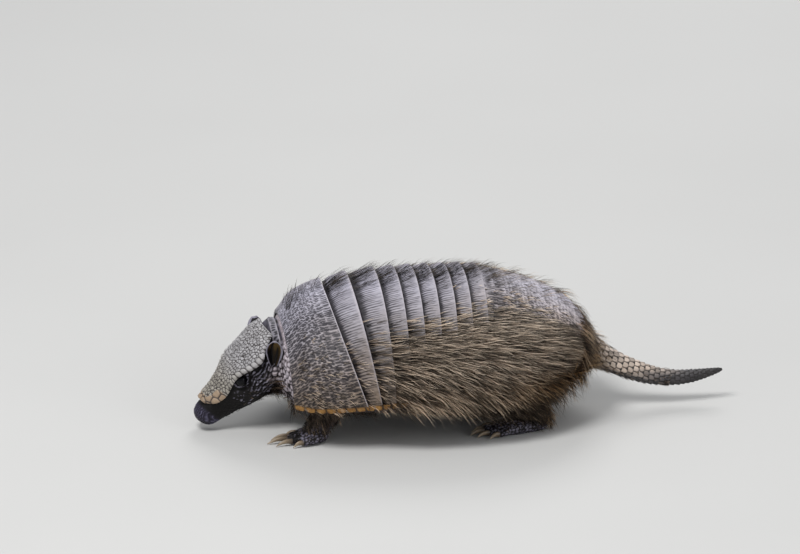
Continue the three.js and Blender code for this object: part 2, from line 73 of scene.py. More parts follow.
SHIELD = [  # ahead, top, half width, and how far its sides droop
    [-1, -3, 18, 4], [5, -1.6, 23, 5], [11, -0.7, 26, 6], [19.6, 0, 31, 9.2], [30, 0, 29.5, 7],
    [36, 0, 27, 4.9], [45.5, 0, 22, 4.5], [56, 0, 18, 8], [63, 0, 16, 9], [71, 0, 13.5, 6.5],
    [76.5, -0.4, 7, 1.5],
]
SHIELD_CURVE = 2.3
EYE = {"ahead": 43, "out": 19, "up": -10.8, "radius": 5.2}
EAR = {
    "base": (17.5, 28.5, -21.5), "tip": (1.4, 31.5, -8), "opening": (0.45, 0.9, 0),
    "half": 6.8, "cup": 3.6, "thickness": 1.3,
}
EAR_OUTLINE = [  # share of its length, share of its width
    [0, 0.42], [0.3, 0.78], [0.6, 1], [0.85, 0.78], [1, 0.3],
]
TAIL = [  # x, z, radius
    [96, 54, 11], [105.9, 50.4, 10.2], [117.2, 41.7, 9.2], [130.1, 34.7, 8.5], [143, 28.9, 8],
    [154.3, 24.9, 7.2], [164, 22.6, 6.5], [176.2, 21.4, 5.8], [188.3, 22, 5], [200.4, 23.8, 3.6],
    [211, 25.9, 1.9], [214, 26.5, 0.7],
]
# A digit is (outward, reach, length of its claw), a limb's stop (ahead, outward, up, radius).
FORE = {
    "heel": 13, "front": 9, "half": 12, "height": 13, "toe": 3.3,
    "digits": [(-11.8, 9, 9), (-6, 16, 14), (0, 18.5, 16), (6, 16, 13), (11.8, 8.5, 8)],
    "limb": [(-26, 4, 48, 17), (-18, 3, 32, 14), (-9, 1, 17, 11), (-4, 0, 8, 10)],
}
HIND = {
    "heel": 31, "front": 12, "half": 11.5, "height": 14, "toe": 3.2,
    "digits": [(-11.2, 12.5, 8), (-5.7, 19, 10), (0, 21, 11), (5.7, 18.5, 10), (11.2, 12, 8)],
    "limb": [(-2, 0, 42, 17), (-10, 1, 31, 16), (-21, 1, 17, 12), (-22, 0, 9, 10)],
}
LEGS = [
    {"name": "foreleg_left", "side": -1, "foot": FORE, "x": -126, "out": 45, "splay": 6},
    {"name": "foreleg_right", "side": 1, "foot": FORE, "x": -101, "out": 45, "splay": 8},
    {"name": "hindleg_left", "side": -1, "foot": HIND, "x": 33, "out": 47, "splay": 10},
    {"name": "hindleg_right", "side": 1, "foot": HIND, "x": 50, "out": 46, "splay": 10},
]
PAW = [(0, 0.55, 0.6), (0.2, 0.85, 1), (0.65, 1, 0.85), (1, 0.8, 0.55)]  # along, width, height
DIGIT = [(15, 0.7, 1.2, 1), (7, 0.9, 1.6, 1), (0, 1, -0.2, 0.78)]  # behind, outward, lift, radius
CLAW = {"half": 1.5, "height": 2.2, "tip": 0.3, "root": 0.8, "rise": 1.5, "lowest": 0.8, "bed": 0.6}
SOLE_DIP = 2

# ---------- numbers ----------

UP = np.array([0.0, 0.0, 1.0])
HASH, HASH_SCALE = (12.9898, 78.233, 37.719, 94.673), 43758.5453  # these scatter whole numbers evenly


def row_at(rows, keys):
    """Reads a table of rows [key, value, ...] at an array of keys, smoothly between its rows."""
    rows, keys = np.asarray(rows, float), np.asarray(keys, float)
    i = np.clip(np.searchsorted(rows[:, 0], keys) - 1, 0, len(rows) - 2)
    start, end = rows[i], rows[i + 1]
    before, after = rows[np.maximum(i - 1, 0)], rows[np.minimum(i + 2, len(rows) - 1)]
    span = (end - start)[..., :1]
    s = np.clip((keys[..., None] - start[..., :1]) / span, 0, 1)
    slope_in = (end - before) / (end - before)[..., :1]
    slope_out = (after - start) / (after - start)[..., :1]
    value = (
        start * (2 * s**3 - 3 * s**2 + 1) + slope_in * span * (s**3 - 2 * s**2 + s)
        + end * (3 * s**2 - 2 * s**3) + slope_out * span * (s**3 - s**2)
    )
    return np.moveaxis(value[..., 1:], -1, 0)


def ease(low, high, value):
    """0 up to `low`, 1 from `high` on, and an eased rise between; `low` may be the larger."""
    s = np.clip((value - low) / (high - low), 0, 1)
    return s * s * (3 - 2 * s)


def signed_power(value, power):
    return np.sign(value) * np.abs(value) ** power


def unit(vectors):
    return vectors / np.maximum(np.linalg.norm(vectors, axis=-1, keepdims=True), 1e-9)


def chance(*keys):
    """An even number in 0..1 for each set of whole-number keys, always the same."""
    mixed = sum(np.asarray(k, float) * f for k, f in zip(keys, HASH))
    return np.abs(np.modf(np.sin(mixed) * HASH_SCALE)[0])


def ripple(p, size, seed):
    """Smooth noise in about -1..1 at an array of points, with waves about `size` long."""
    rng = np.random.default_rng(seed)
    total = 0
    for _ in range(5):
        way = rng.normal(size=3)
        way *= 2 * math.pi / size / np.linalg.norm(way) * rng.uniform(0.7, 1.5)
        total = total + np.sin(p @ way + rng.uniform(0, 6.28))
    return total / 3


def cells(s, t, width, length, jitter, seed, squeeze=1.0):
    """A brick pattern of scutes on a plane: distance to the edge and to the middle, and tone.

    Distances along t count `squeeze` times as much as those across.
    """
    row = np.floor(t / length)
    best, second = np.full(np.shape(s), 1e9), np.full(np.shape(s), 1e9)
    tone = np.zeros(np.shape(s))
    for r in (row - 1, row, row + 1):
        shift = 0.5 * np.mod(r, 2)
        column = np.floor(s / width - shift)
        for c in (column - 1, column, column + 1):
            ds = s - (c + shift + 0.5 + jitter * (chance(r, c, seed) - 0.5)) * width
            dt = t - (r + 0.5 + jitter * (chance(r, c, seed + 1) - 0.5)) * length
            far = np.hypot(ds, dt * squeeze * width / length)
            closer = far < best
            second = np.where(closer, best, np.minimum(second, far))
            tone = np.where(closer, chance(r, c, seed + 2), tone)
            best = np.minimum(best, far)
    return (second - best) / 2, best, tone


def grains(p, size, seed):
    """The same in space, for tubercles: distance to the edge, and tone."""
    cell = np.floor(p / size)
    best, second = np.full(len(p), 1e9), np.full(len(p), 1e9)
    tone = np.zeros(len(p))
    for step in np.ndindex(3, 3, 3):
        c = cell + np.array(step) - 1
        jitter = np.stack([chance(*c.T, seed + k) for k in range(3)], -1)
        far = np.linalg.norm(p - (c + 0.15 + 0.7 * jitter) * size, axis=1)
        closer = far < best
        second = np.where(closer, best, np.minimum(second, far))
        tone = np.where(closer, chance(*c.T, seed + 3), tone)
        best = np.minimum(best, far)
    return (second - best) / 2, tone


# ---------- places on the body ----------


def section_point(x, z, lean, half, rise, turn, lift):
    """A point of a section that stands at x and leans back: `turn` round it from the top."""
    up = (rise + lift) * np.cos(turn)
    lean = np.radians(lean)
    return np.stack(
        np.broadcast_arrays(x - up * np.sin(lean), (half + lift) * np.sin(turn), z + up * np.cos(lean)), -1
    )


def shell_point(x, across, lift=0.0):
    """A point over the back: centre x, place across it from the left edge (0) to the right, lift."""
    x = np.asarray(x, float)
    z, lean, half, rise, margin = row_at(SHELL, x)
    return section_point(x, z, lean, half, rise, np.radians(margin) * (2 * across - 1), lift)


def neck_point(x, turn, lift=0.0):
    x = np.asarray(x, float)
    z, lean, half, rise, drop = row_at(NECK, x)
    return section_point(x, z, lean, half, np.where(np.cos(turn) > 0, rise, drop), turn, lift)


def head_turn():
    pitch, yaw = math.radians(-HEAD_PITCH), math.radians(HEAD_YAW)
    about_y = np.array([
        [math.cos(pitch), 0, math.sin(pitch)], [0, 1, 0], [-math.sin(pitch), 0, math.cos(pitch)],
    ])
    about_z = np.array([
        [math.cos(yaw), -math.sin(yaw), 0], [math.sin(yaw), math.cos(yaw), 0], [0, 0, 1],
    ])
    return about_z @ about_y


HEAD_TURN = head_turn()


def from_head(points):
    """Points of the head (ahead, outward to its right, up) in the model's frame."""
    return (np.asarray(points, float) * (-1, 1, 1)) @ HEAD_TURN.T + HEAD_ORIGIN


def to_head(points):
    return ((points - HEAD_ORIGIN) @ HEAD_TURN) * (-1, 1, 1)


def shield_point(ahead, q, lift=0.0):
    """A point of the head shield: how far ahead, place across it (-1..1), lift."""
    top, half, droop = row_at(SHIELD, ahead)
    return from_head(np.stack(
        np.broadcast_arrays(ahead, half * q, top + lift - droop * np.abs(q) ** SHIELD_CURVE), -1
    ))


def tail_rows():
    """The tail's table by share of its length instead of in order, and that length."""
    line = np.array(TAIL)[:, :2]
    places = np.concatenate([[0], np.cumsum(np.linalg.norm(np.diff(line, axis=0), axis=1))])
    return np.column_stack([places / places[-1], TAIL]), places[-1]


TAIL_ROWS, TAIL_LENGTH = tail_rows()


def tail_point(along, turn, lift=0.0):
    """A point of the tail: share of its length, turn round it from the top, lift."""
    x, z, radius = row_at(TAIL_ROWS, along)
    ahead = row_at(TAIL_ROWS, np.asarray(along) + 1e-3)
    slope = np.arctan2(ahead[1] - z, ahead[0] - x)
    out, up = (radius + lift) * np.sin(turn), (radius + lift) * np.cos(turn)
    return np.stack(np.broadcast_arrays(x - up * np.sin(slope), out, z + up * np.cos(slope)), -1)


def foot_point(leg, ahead, out, up):
    """A point of a foot: ahead of the sole's centre, outward, and up."""
    turn = math.radians(leg["splay"])
    return np.array([
        leg["x"] - ahead * math.cos(turn) + out * math.sin(turn),
        leg["side"] * (leg["out"] + ahead * math.sin(turn) + out * math.cos(turn)),
        up,
    ])


# ---------- meshes ----------


def new_mesh(name, points, faces, look, attributes=None, uv=None, smooth=True):
    """A piece of the model from points in millimetres, with a value at each point per attribute."""
    mesh = bpy.data.meshes.new(name)
    faces = np.asarray(faces, np.int32)
    corners = faces.shape[1]
    mesh.vertices.add(len(points))
    mesh.vertices.foreach_set("co", (np.asarray(points, np.float32) * 0.001).ravel())
    mesh.loops.add(faces.size)
    mesh.loops.foreach_set("vertex_index", faces.ravel())
    mesh.polygons.add(len(faces))
    mesh.polygons.foreach_set("loop_start", np.arange(0, faces.size, corners, dtype=np.int32))
    mesh.update(calc_edges=True)
    mesh.polygons.foreach_set("use_smooth", np.full(len(faces), smooth))
    for key, values in (attributes or {}).items():
        layer = mesh.attributes.new(key, "FLOAT", "POINT")
        layer.data.foreach_set("value", np.asarray(values, np.float32).ravel())
    if uv is not None:
        layer = mesh.uv_layers.new(name="OFBake")
        layer.data.foreach_set("uv", np.asarray(uv, np.float32)[faces.ravel()].ravel())
    mesh.materials.append(look)
    piece = bpy.data.objects.new(name, mesh)
    bpy.context.scene.collection.objects.link(piece)
    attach(piece, "root")
    return piece


def grid_faces(rows, columns, closed=False):
    """Quads over a grid of points, the columns joined round where it is closed."""
    wide = columns if closed else columns - 1
    j, i = np.meshgrid(np.arange(rows - 1), np.arange(wide), indexing="ij")
    a, b = j * columns + i, j * columns + (i + 1) % columns
    return np.stack([a, b, b + columns, a + columns], -1).reshape(-1, 4)


def facing(points, faces, outward):
    """The faces, turned over where most look away from `outward`."""
    a, b, c = (points[faces[:, k]] for k in (0, 1, 2))
    looks = np.cross(b - a, c - b)
    middle = (a + c) / 2
    return faces if np.sum(looks * outward(middle)) > 0 else faces[:, ::-1]


def raised_sheet(name, surface, u, v, relief, rim, look, outward, attributes):
    """A sheet over a grid with its relief, its rim turned down all round."""
    points = surface(v[:, None], u[None, :], relief)
    low = np.full(relief.shape, -rim)
    inner = surface(v[:, None], u[None, :], low)
    padded = np.pad(points, ((1, 1), (1, 1), (0, 0)), mode="edge")
    under = np.pad(inner, ((1, 1), (1, 1), (0, 0)), mode="edge")
    edge = np.ones(padded.shape[:2], bool)
    edge[1:-1, 1:-1] = False
    padded[edge] = under[edge]
    values = {k: np.pad(a, 1, mode="edge") for k, a in attributes.items()}
    rows, columns = edge.shape
    flat = padded.reshape(-1, 3)
    faces = facing(flat, grid_faces(rows, columns), outward)
    return new_mesh(name, flat, faces, look, values)


# ---------- node materials ----------


class Look:
    """A node material, put together from the values that the meshes carry and from noise."""

    def __init__(self, name, roughness, **sockets):
        self.material = bpy.data.materials.new(name)
        self.material.use_nodes = True
        self.tree = self.material.node_tree
        self.shader = self.tree.nodes["Principled BSDF"]
        self.shader.inputs["Roughness"].default_value = roughness
        for key, value in sockets.items():
            self.shader.inputs[key.replace("_", " ")].default_value = value
        place = self.tree.nodes.new("ShaderNodeTexCoord")
        self.place = place.outputs["Object"]

    def put(self, socket, value):
        if isinstance(value, bpy.types.NodeSocket):
            self.tree.links.new(value, socket)
        elif isinstance(value, tuple):
            socket.default_value = (*value, 1)
        else:
            socket.default_value = value

    def value(self, name):
        node = self.tree.nodes.new("ShaderNodeAttribute")
        node.attribute_name = name
        return node.outputs["Fac"]

    def noise(self, waves, detail=3.0, stretch=(1, 1, 1)):
        """Noise with a number of waves per metre."""
        mapping = self.tree.nodes.new("ShaderNodeMapping")
        mapping.inputs["Scale"].default_value = stretch
        self.tree.links.new(self.place, mapping.inputs["Vector"])
        node = self.tree.nodes.new("ShaderNodeTexNoise")
        node.inputs["Scale"].default_value = waves
        node.inputs["Detail"].default_value = detail
        self.tree.links.new(mapping.outputs["Vector"], node.inputs["Vector"])
        return node.outputs["Fac"]

    def ramp(self, factor, *stops):
        node = self.tree.nodes.new("ShaderNodeValToRGB")
        elements = node.color_ramp.elements
        while len(elements) < len(stops):
            elements.new(1)
        for element, (place, color) in zip(elements, stops):
            element.position = place
            element.color = (*color, 1) if isinstance(color, tuple) else (color, color, color, 1)
        self.put(node.inputs["Fac"], factor)
        return node.outputs["Color"]

    def mix(self, factor, a, b, kind="MIX"):
        node = self.tree.nodes.new("ShaderNodeMix")
        node.data_type, node.blend_type = "RGBA", kind
        for socket, value in zip((node.inputs[0], node.inputs[6], node.inputs[7]), (factor, a, b)):
            self.put(socket, value)
        return node.outputs[2]

    def math(self, kind, a, b):
        node = self.tree.nodes.new("ShaderNodeMath")
        node.operation = kind
        self.put(node.inputs[0], a)
        self.put(node.inputs[1], b)
        return node.outputs[0]

    def shaded(self, share, color, factor, *stops):
        """The colour, as much darker as the ramp of `factor` is, by a share."""
        return self.mix(share, color, self.ramp(factor, *stops), "MULTIPLY")

    def finish(self, color, bump=None, depth=0.0):
        """Sets the colour, and bumps that stand up by `depth` metres."""
        self.put(self.shader.inputs["Base Color"], color)
        if bump is not None:
            node = self.tree.nodes.new("ShaderNodeBump")
            node.inputs["Distance"].default_value = depth
            node.inputs["Strength"].default_value = 0.8
            self.put(node.inputs["Height"], bump)
            self.put(self.shader.inputs["Normal"], node.outputs["Normal"])
        return self.material


def shell_look():
    look = Look("shell_horn", 0.5, Specular_IOR_Level=0.3)
    side, pit, tone = look.value("side"), look.value("pit"), look.value("tone")
    patches = look.math("MULTIPLY", look.math("SUBTRACT", look.noise(45, 4), 0.5), 0.5)
    across = look.math("ADD", side, patches)
    horn = look.ramp(
        across, (0, (0.55, 0.53, 0.625)), (0.34, (0.43, 0.405, 0.45)), (0.6, (0.37, 0.325, 0.325)),
        (0.95, (0.34, 0.26, 0.20)),
    )
    horn = look.shaded(0.8, horn, tone, (0, 0.40), (1, 1.0))
    dark = look.ramp(side, (0, (0.034, 0.030, 0.040)), (1, (0.014, 0.011, 0.012)))
    color = look.mix(pit, horn, dark)
    color = look.mix(1.0, color, look.value("shade"), "MULTIPLY")
    # 'rim' paints a highlight: a pale line along the plates' rounded edges.
    color = look.mix(look.value("rim"), color, (0.55, 0.51, 0.55))
    ochre = look.ramp(look.noise(260, 3), (0.3, (0.20, 0.085, 0.020)), (0.7, (0.46, 0.25, 0.07)))
    ochre = look.mix(pit, ochre, (0.020, 0.012, 0.008))
    color = look.mix(look.value("ochre"), color, ochre)
    return look.finish(color, look.noise(1500, 2, (0.4, 1, 1)), 0.0002)


def head_shield_look():
    look = Look("head_horn", 0.5)
    warm, pit, tone = look.value("warm"), look.value("pit"), look.value("tone")
    horn = look.ramp(
        warm, (0, (0.49, 0.475, 0.485)), (0.5, (0.385, 0.355, 0.305)), (1, (0.36, 0.26, 0.175)),
    )
    horn = look.shaded(0.7, horn, tone, (0, 0.45), (1, 1.0))
    dark = look.ramp(warm, (0, (0.10, 0.082, 0.082)), (1, (0.14, 0.08, 0.04)))
    color = look.mix(pit, horn, dark)
    color = look.mix(look.value("groove"), color, (0.028, 0.020, 0.019))
    return look.finish(color, look.noise(1800, 3), 0.0002)


def skin_look():
    look = Look("skin", 0.55, Specular_IOR_Level=0.2)
    ridge, pale = look.value("ridge"), look.value("pale")
    # The skin's lightness follows 'ridge': pale scales and tubercles, and also painted highlights on raised
    # folds and painted shade in creases, the mouth, the nostrils and under the shield.
    dark = look.ramp(
        ridge, (0, (0.004, 0.003, 0.003)), (0.42, (0.011, 0.009, 0.009)), (0.66, (0.15, 0.14, 0.18)),
        (1, (0.38, 0.36, 0.43)),
    )
    pink = look.ramp(
        ridge, (0, (0.016, 0.011, 0.013)), (0.38, (0.47, 0.40, 0.43)), (1, (0.80, 0.72, 0.76)),
    )
    color = look.mix(pale, dark, pink)
    nose = look.ramp(
        ridge, (0, (0.006, 0.005, 0.009)), (0.5, (0.030, 0.026, 0.042)), (1, (0.15, 0.14, 0.22)),
    )
    color = look.mix(look.value("nose"), color, nose)
    ear = look.ramp(
        ridge, (0, (0.004, 0.003, 0.003)), (0.5, (0.045, 0.028, 0.010)), (1, (0.15, 0.095, 0.030)),
    )
    color = look.mix(look.value("hollow"), color, ear)
    belly = look.ramp(look.noise(220, 4), (0.3, (0.045, 0.030, 0.022)), (0.7, (0.10, 0.07, 0.05)))
    color = look.mix(look.value("belly"), color, belly)
    color = look.shaded(0.35, color, look.noise(500, 4), (0.3, 0.45), (0.7, 1.0))
    return look.finish(color, look.noise(2200, 3), 0.0003)


def tail_look():
    look = Look("tail_skin", 0.5)
    along, pit, tone = look.value("along"), look.value("pit"), look.value("tone")
    # 'along' also carries painted shade on the tail's underside and a lighter top.
    horn = look.ramp(
        along, (0, (0.60, 0.51, 0.44)), (0.34, (0.63, 0.51, 0.42)), (0.48, (0.28, 0.235, 0.21)),
        (0.60, (0.075, 0.067, 0.070)), (0.80, (0.036, 0.031, 0.035)), (1, (0.014, 0.012, 0.013)),
    )
    horn = look.shaded(0.75, horn, tone, (0, 0.30), (1, 1.0))
    color = look.mix(pit, horn, (0.012, 0.009, 0.008))
    return look.finish(color, look.noise(1500, 3), 0.0003)


def claw_look():
    look = Look("claw_horn", 0.35)
    fibres = look.noise(700, 3, (0.15, 1, 1))
    horn = look.ramp(
        look.value("along"), (0, (0.07, 0.05, 0.035)), (0.5, (0.27, 0.20, 0.13)), (1, (0.45, 0.37, 0.27)),
    )
    color = look.shaded(0.6, horn, fibres, (0.3, 0.35), (0.7, 1.0))
    return look.finish(color, fibres, 0.0002)


def eye_look():
    look = Look("eye", 0.12, Specular_IOR_Level=0.16)
    iris = look.ramp(look.noise(260, 2), (0.35, (0.002, 0.002, 0.003)), (0.75, (0.007, 0.006, 0.008)))
    return look.finish(iris)


def hair_look():
    look = Look("hair", 0.42, Specular_IOR_Level=0.22)
    along, tone = look.value("along"), look.value("tone")
    # Each ramp is darkest at the root: painted shade down in the coat, against the skin.
    tan = look.ramp(
        along, (0, (0.012, 0.009, 0.009)), (0.2, (0.060, 0.043, 0.036)), (0.45, (0.40, 0.30, 0.22)),
        (0.8, (0.80, 0.65, 0.50)), (1, (0.88, 0.77, 0.62)),
    )
    gold = look.ramp(
        along, (0, (0.030, 0.014, 0.005)), (0.45, (0.30, 0.145, 0.045)), (1, (0.64, 0.39, 0.145)),
    )
    black = look.ramp(
        along, (0, (0.006, 0.005, 0.005)), (0.65, (0.020, 0.015, 0.014)), (1, (0.20, 0.14, 0.09)),
    )
    color = look.mix(look.value("gold"), tan, gold)
    color = look.mix(look.value("dark"), color, black)
    color = look.shaded(0.9, color, tone, (0, 0.03), (0.52, 0.10), (0.66, 0.95), (1, 1.0))
    return look.finish(color)


def floor_look():
    look = Look("floor", 0.9)
    return look.finish(look.ramp(look.noise(3, 2), (0, (0.56, 0.555, 0.54)), (1, (0.60, 0.595, 0.58))))


LOOKS = {
    "shell": shell_look(), "head_shield": head_shield_look(), "skin": skin_look(), "tail": tail_look(),
    "claw": claw_look(), "eye": eye_look(), "hair": hair_look(), "floor": floor_look(),
}

# ---------- shell ----------

FINE = 0.6  # spacing of the points that carry the scutes
SCUTE = 2.2  # width of a scute of the shell
SCUTE_LIFT = 0.45  # how far a scute stands up from the flecks round it
MARGIN_SCUTE = (7.4, 4.6)  # length and height of the scutes along the shell's lower edge
RIM = 2.6  # how far a plate's edge is turned down
BAND_SINK, BAND_LIFT = 1.3, 0.5  # how far a band dips at its front and stands up at its rear
SCAPULAR_ROWS = np.concatenate([[0, 0.06], 0.06 + np.linspace(0, 0.68, 13)[1:], [0.86, 1.0]])
PELVIC_ROWS = np.concatenate([[0, 0.09, 0.18], 0.18 + np.linspace(0, 0.82, 27)[1:]])
NUCHAL_SCUTE, HEAD_SCUTE, NOSE_SCUTE = 2.6, 2.8, (5.8, 5.6)
BEAD, BEAD_ROW = 4.7, 4.2  # length of a bead along the brow, and width of their row
NOSE_ROW = 5.4  # width of the row of large scutes round the nose


def band_edge(i):
    return SCAPULAR_REAR + (PELVIC_FRONT - SCAPULAR_REAR) * i / BANDS


def even_across(x, spacing):
    """Places across the back, the same distance apart on the section at x."""
    u = np.linspace(0, 1, 801)
    line = shell_point(np.full_like(u, x), u)
    arc = np.concatenate([[0], np.cumsum(np.linalg.norm(np.diff(line, axis=0), axis=1))])
    count = 2 * round(arc[-1] / spacing / 2) + 1
    return np.interp(np.linspace(0, arc[-1], count), arc, u)


def across_length(points):
    """The signed distance from the middle of the back to each point, along its section."""
    steps = np.linalg.norm(np.diff(points, axis=1), axis=2)
    arc = np.concatenate([np.zeros((len(points), 1)), np.cumsum(steps, axis=1)], axis=1)
    return arc - arc[:, -1:] / 2, arc[:, -1:]


def furry(x, side):
    """How far the long bristles cover the shell, at centre x and share of the way down."""
    start = 0.36 - 0.16 * ease(-30, 20, x) + 0.14 * ease(35, 75, x)
    full = start + 0.34 + 0.10 * ease(-30, 20, x)
    return ease(start, full, side) * ease(-88, -54, x)


def scute_rows(s, side, x, v, rows, seed):
    """The dark flecks of a shield, in rows from its front, with their tone and its raised rows."""
    t = np.broadcast_to(np.interp(v, rows, np.arange(len(rows)))[:, None], s.shape)
    length = np.interp(t, np.arange(len(rows) - 1) + 0.5, np.diff(rows)) * (x[-1] - x[0])
    flat = np.stack([x[:, None] + 0 * s, s, 0 * s], -1).reshape(-1, 3)
    wander = ripple(flat, 5.5, seed).reshape(s.shape)
    slant = 0.4 * wander + 0.35 * t * SCUTE
    _, far, tone = cells(s + slant, t + 0.10 * wander, SCUTE, 1.0, 0.5, seed, squeeze=0.66)
    size = 0.62 + 0.24 * ease(0.08, 0.42, side) - 0.24 * ease(20, 70, x)[:, None]
    pit = 1 - ease(size - 0.16, size + 0.16, far + 0.12 * wander)
    ridge = ease(4, 6, length) * ease(0.86, 1.0, np.mod(t, 1)) * (np.mod(t, 1) < 0.999)
    return pit, tone, ridge


def band_streaks(s, v, seed):
    """The dark grooves between a band's long scutes, which thin out towards its rear edge, and a painted
    shadow along its front.
    """
    column = s / SCUTE + 0.25 * np.sin(s / 3.1 + seed)
    number = np.round(column)
    off = np.abs(column - number) * SCUTE
    end = 0.72 + 0.38 * chance(number, seed)
    wide = 0.62 * ease(1.0, 0.1, v[:, None] / end) + 0.26
    groove = ease(wide, wide * 0.35, off) * ease(1.0, 0.8, v[:, None] / end)
    # Painted shadow: a dark strip along the band's front, under the rear edge of the band before.
    strip = ease(0.26, 0.06, v[:, None] + 0.14 * (chance(number, seed + 5) - 0.5))
    fine = chance(np.floor(s / 0.65 + 0.6 * np.sin(4 * v[:, None])), seed + 9)
    return np.clip(groove + strip, 0, 1), 0.3 * chance(number, seed + 2) + 0.7 * fine, 0 * s


def margin_scutes(x, s, depth):
    """The large scutes along the lower edge: where they are, their joints, and their relief."""
    long, high = MARGIN_SCUTE
    ochre = 1 - ease(high - 0.5, high, depth)
    place = np.mod((x[:, None] - SHELL_FRONT) / long + 0 * s, 1)
    joint = np.minimum(place, 1 - place) * long
    notch = np.minimum(joint, high - depth)
    pit = np.maximum(1 - ease(0.2, 1.2, notch), 1 - ease(1.3, 2.6, joint + depth * 0.9))
    return ochre, pit, ochre * (1.0 * ease(0, 0.9, notch) + 0.3)


def shell_plate(node, front, rear, step, rows, seed):
    """One plate of the shell. `rows` gives where its rows of scutes end, or None for a band."""
    v = np.linspace(0, 1, max(2, round((rear - front) / FINE) + 1))
    x, down = front + (rear - front) * v, v[:, None]
    u = even_across((front + rear) / 2, FINE)
    base = shell_point(x[:, None], u[None, :])
    s, arc = across_length(base)
    side, depth = np.abs(2 * s / arc), arc / 2 - np.abs(s)
    band, stepped = rows is None, step > 0
    pit, tone, ridge = band_streaks(s, v, seed) if band else scute_rows(s, side, x, v, rows, seed)
    ochre, margin_pit, margin_lift = margin_scutes(x, s, depth)
    pit = pit * (1 - ochre) + margin_pit * ochre
    end = np.minimum((1 - v) * (rear - front), 1.2)[:, None]
    fur = furry(x[:, None] + 0 * s, side)
    # Painted highlight: a pale line along the rear edge of each band and of the shoulder shield.
    rim = ease(0.75, 0.25, end) * (1 - ochre) * stepped * (1 - fur)
    pit = pit * (1 - rim) * (0.85 + 0.15 * chance(np.floor(s / 1.7), np.floor(x / 2.3)[:, None], seed + 4))
    # The plate rises to its rear edge, which is rounded off, and fades out over the lower edge.
    sunk = BAND_SINK * (1 - ease(0, 0.45, down)) * band
    slope = step * down * (1 - 0.6 * fur) - sunk + BAND_LIFT * ease(0.5, 1, down) * stepped
    grain = ripple(base.reshape(-1, 3), 5, seed).reshape(s.shape)
    relief = (
        slope * ease(0, 8, depth) + SCUTE_LIFT * (1 - pit) * (1 - ochre) + 0.7 * ridge + 0.15 * grain
        + margin_lift - 0.5 * ease(0.6, 0, end) * stepped
    )
    # Painted shade: each band is darker at its front, where it lies under the band before, and darker under
    # the bristles. The raised rows get a painted highlight, and the pelvic shield is lighter towards the
    # rear.
    shade = 1 - 0.62 * ease(0.30, 0.03, down) * band + 0 * s
    shade = shade * (1 + 0.25 * ridge) * (1 - 0.62 * fur) * (1 + 0.60 * ease(0, 70, x)[:, None])
    # The horn's colour ramp is read further down towards the rear, so the horn there is greyer and browner,
    # less lavender.
    duller_to_rear = side + 0.26 * ease(-40, 40, x)[:, None]
    values = {"pit": pit, "tone": tone, "side": duller_to_rear, "rim": rim, "shade": shade, "ochre": ochre}
    surface = lambda v, u, lift: shell_point(front + (rear - front) * v, u, lift)
    outward = lambda p: p * (0, 1, 1) - (0, 0, 45)
    plate = raised_sheet(node.replace("_", "-"), surface, u, v, relief, RIM, LOOKS["shell"], outward, values)
    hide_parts(node)


def shell():
    half_gap = BAND_GAP / 2
    shell_plate("scapular_shield", SHELL_FRONT, SCAPULAR_REAR - half_gap, BAND_STEP, SCAPULAR_ROWS, 1)
    for i in range(BANDS):
        front, rear = band_edge(i) + half_gap, band_edge(i + 1) - half_gap
        shell_plate(f"band_{i + 1}", front, rear, BAND_STEP, None, 10 + i)
    shell_plate("pelvic_shield", PELVIC_FRONT + half_gap, SHELL_REAR, 0, PELVIC_ROWS, 30)


def nuchal_band():
    """The narrow plate over the nape, between the head and the shoulder shield."""
    front, rear, thickness = NUCHAL["front"], NUCHAL["rear"], NUCHAL["thickness"]
    v, q = np.linspace(0, 1, 14), np.linspace(-1, 1, 110)
    turn = math.radians(NUCHAL["turn"])
    surface = lambda v, q, lift: neck_point(front + (rear - front) * v, turn * q, NUCHAL["off"] + lift)
    s, _ = across_length(surface(v[:, None], q[None, :], thickness))
    _, far, tone = cells(s, np.broadcast_to(v[:, None], s.shape), NUCHAL_SCUTE, 1.0, 0.4, 5)
    pit = 1 - ease(0.7, 1.15, far)
    lift = thickness + 0.5 + 0.4 * (1 - pit) - 1.0 * np.abs(2 * v - 1)[:, None] ** 4
    lift = lift * (1 - 0.7 * ease(0.86, 1, np.abs(q)))[None, :]
    # Painted highlights: pale lines along both edges of the band.
    rim = (ease(0.80, 0.92, v) + 0.6 * ease(0.22, 0.10, v))[:, None] + 0 * s
    values = {
        "pit": pit, "tone": 0.3 + 0.7 * tone, "side": 0.2 + 0 * s, "rim": 0.55 * rim,
        "shade": 0.62 + 0 * s, "ochre": 0 * s,
    }
    outward = lambda p: p - (-146, 0, 54)
    band = raised_sheet("nuchal-band", surface, q, v, lift, 0.0, LOOKS["shell"], outward, values)
    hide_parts("nuchal_band")


def brow_beads(s, t, inward):
    """The beads along each brow: where they are, the distance to a bead's edge, and tone."""
    brow = ease(BEAD_ROW, BEAD_ROW - 0.4, inward) * ease(15, 17, t) * ease(46, 44, t)
    number = (t - 17) / BEAD + 0.35 * np.sign(s)
    place = np.mod(number, 1)
    along, deep = np.minimum(place, 1 - place) * BEAD, np.minimum(BEAD_ROW - inward, inward + 0.5)
    edge = 1.6 - np.hypot(np.maximum(1.6 - along, 0), np.maximum(1.6 - deep, 0))
    return brow, edge, chance(np.floor(number), np.sign(s), 3)


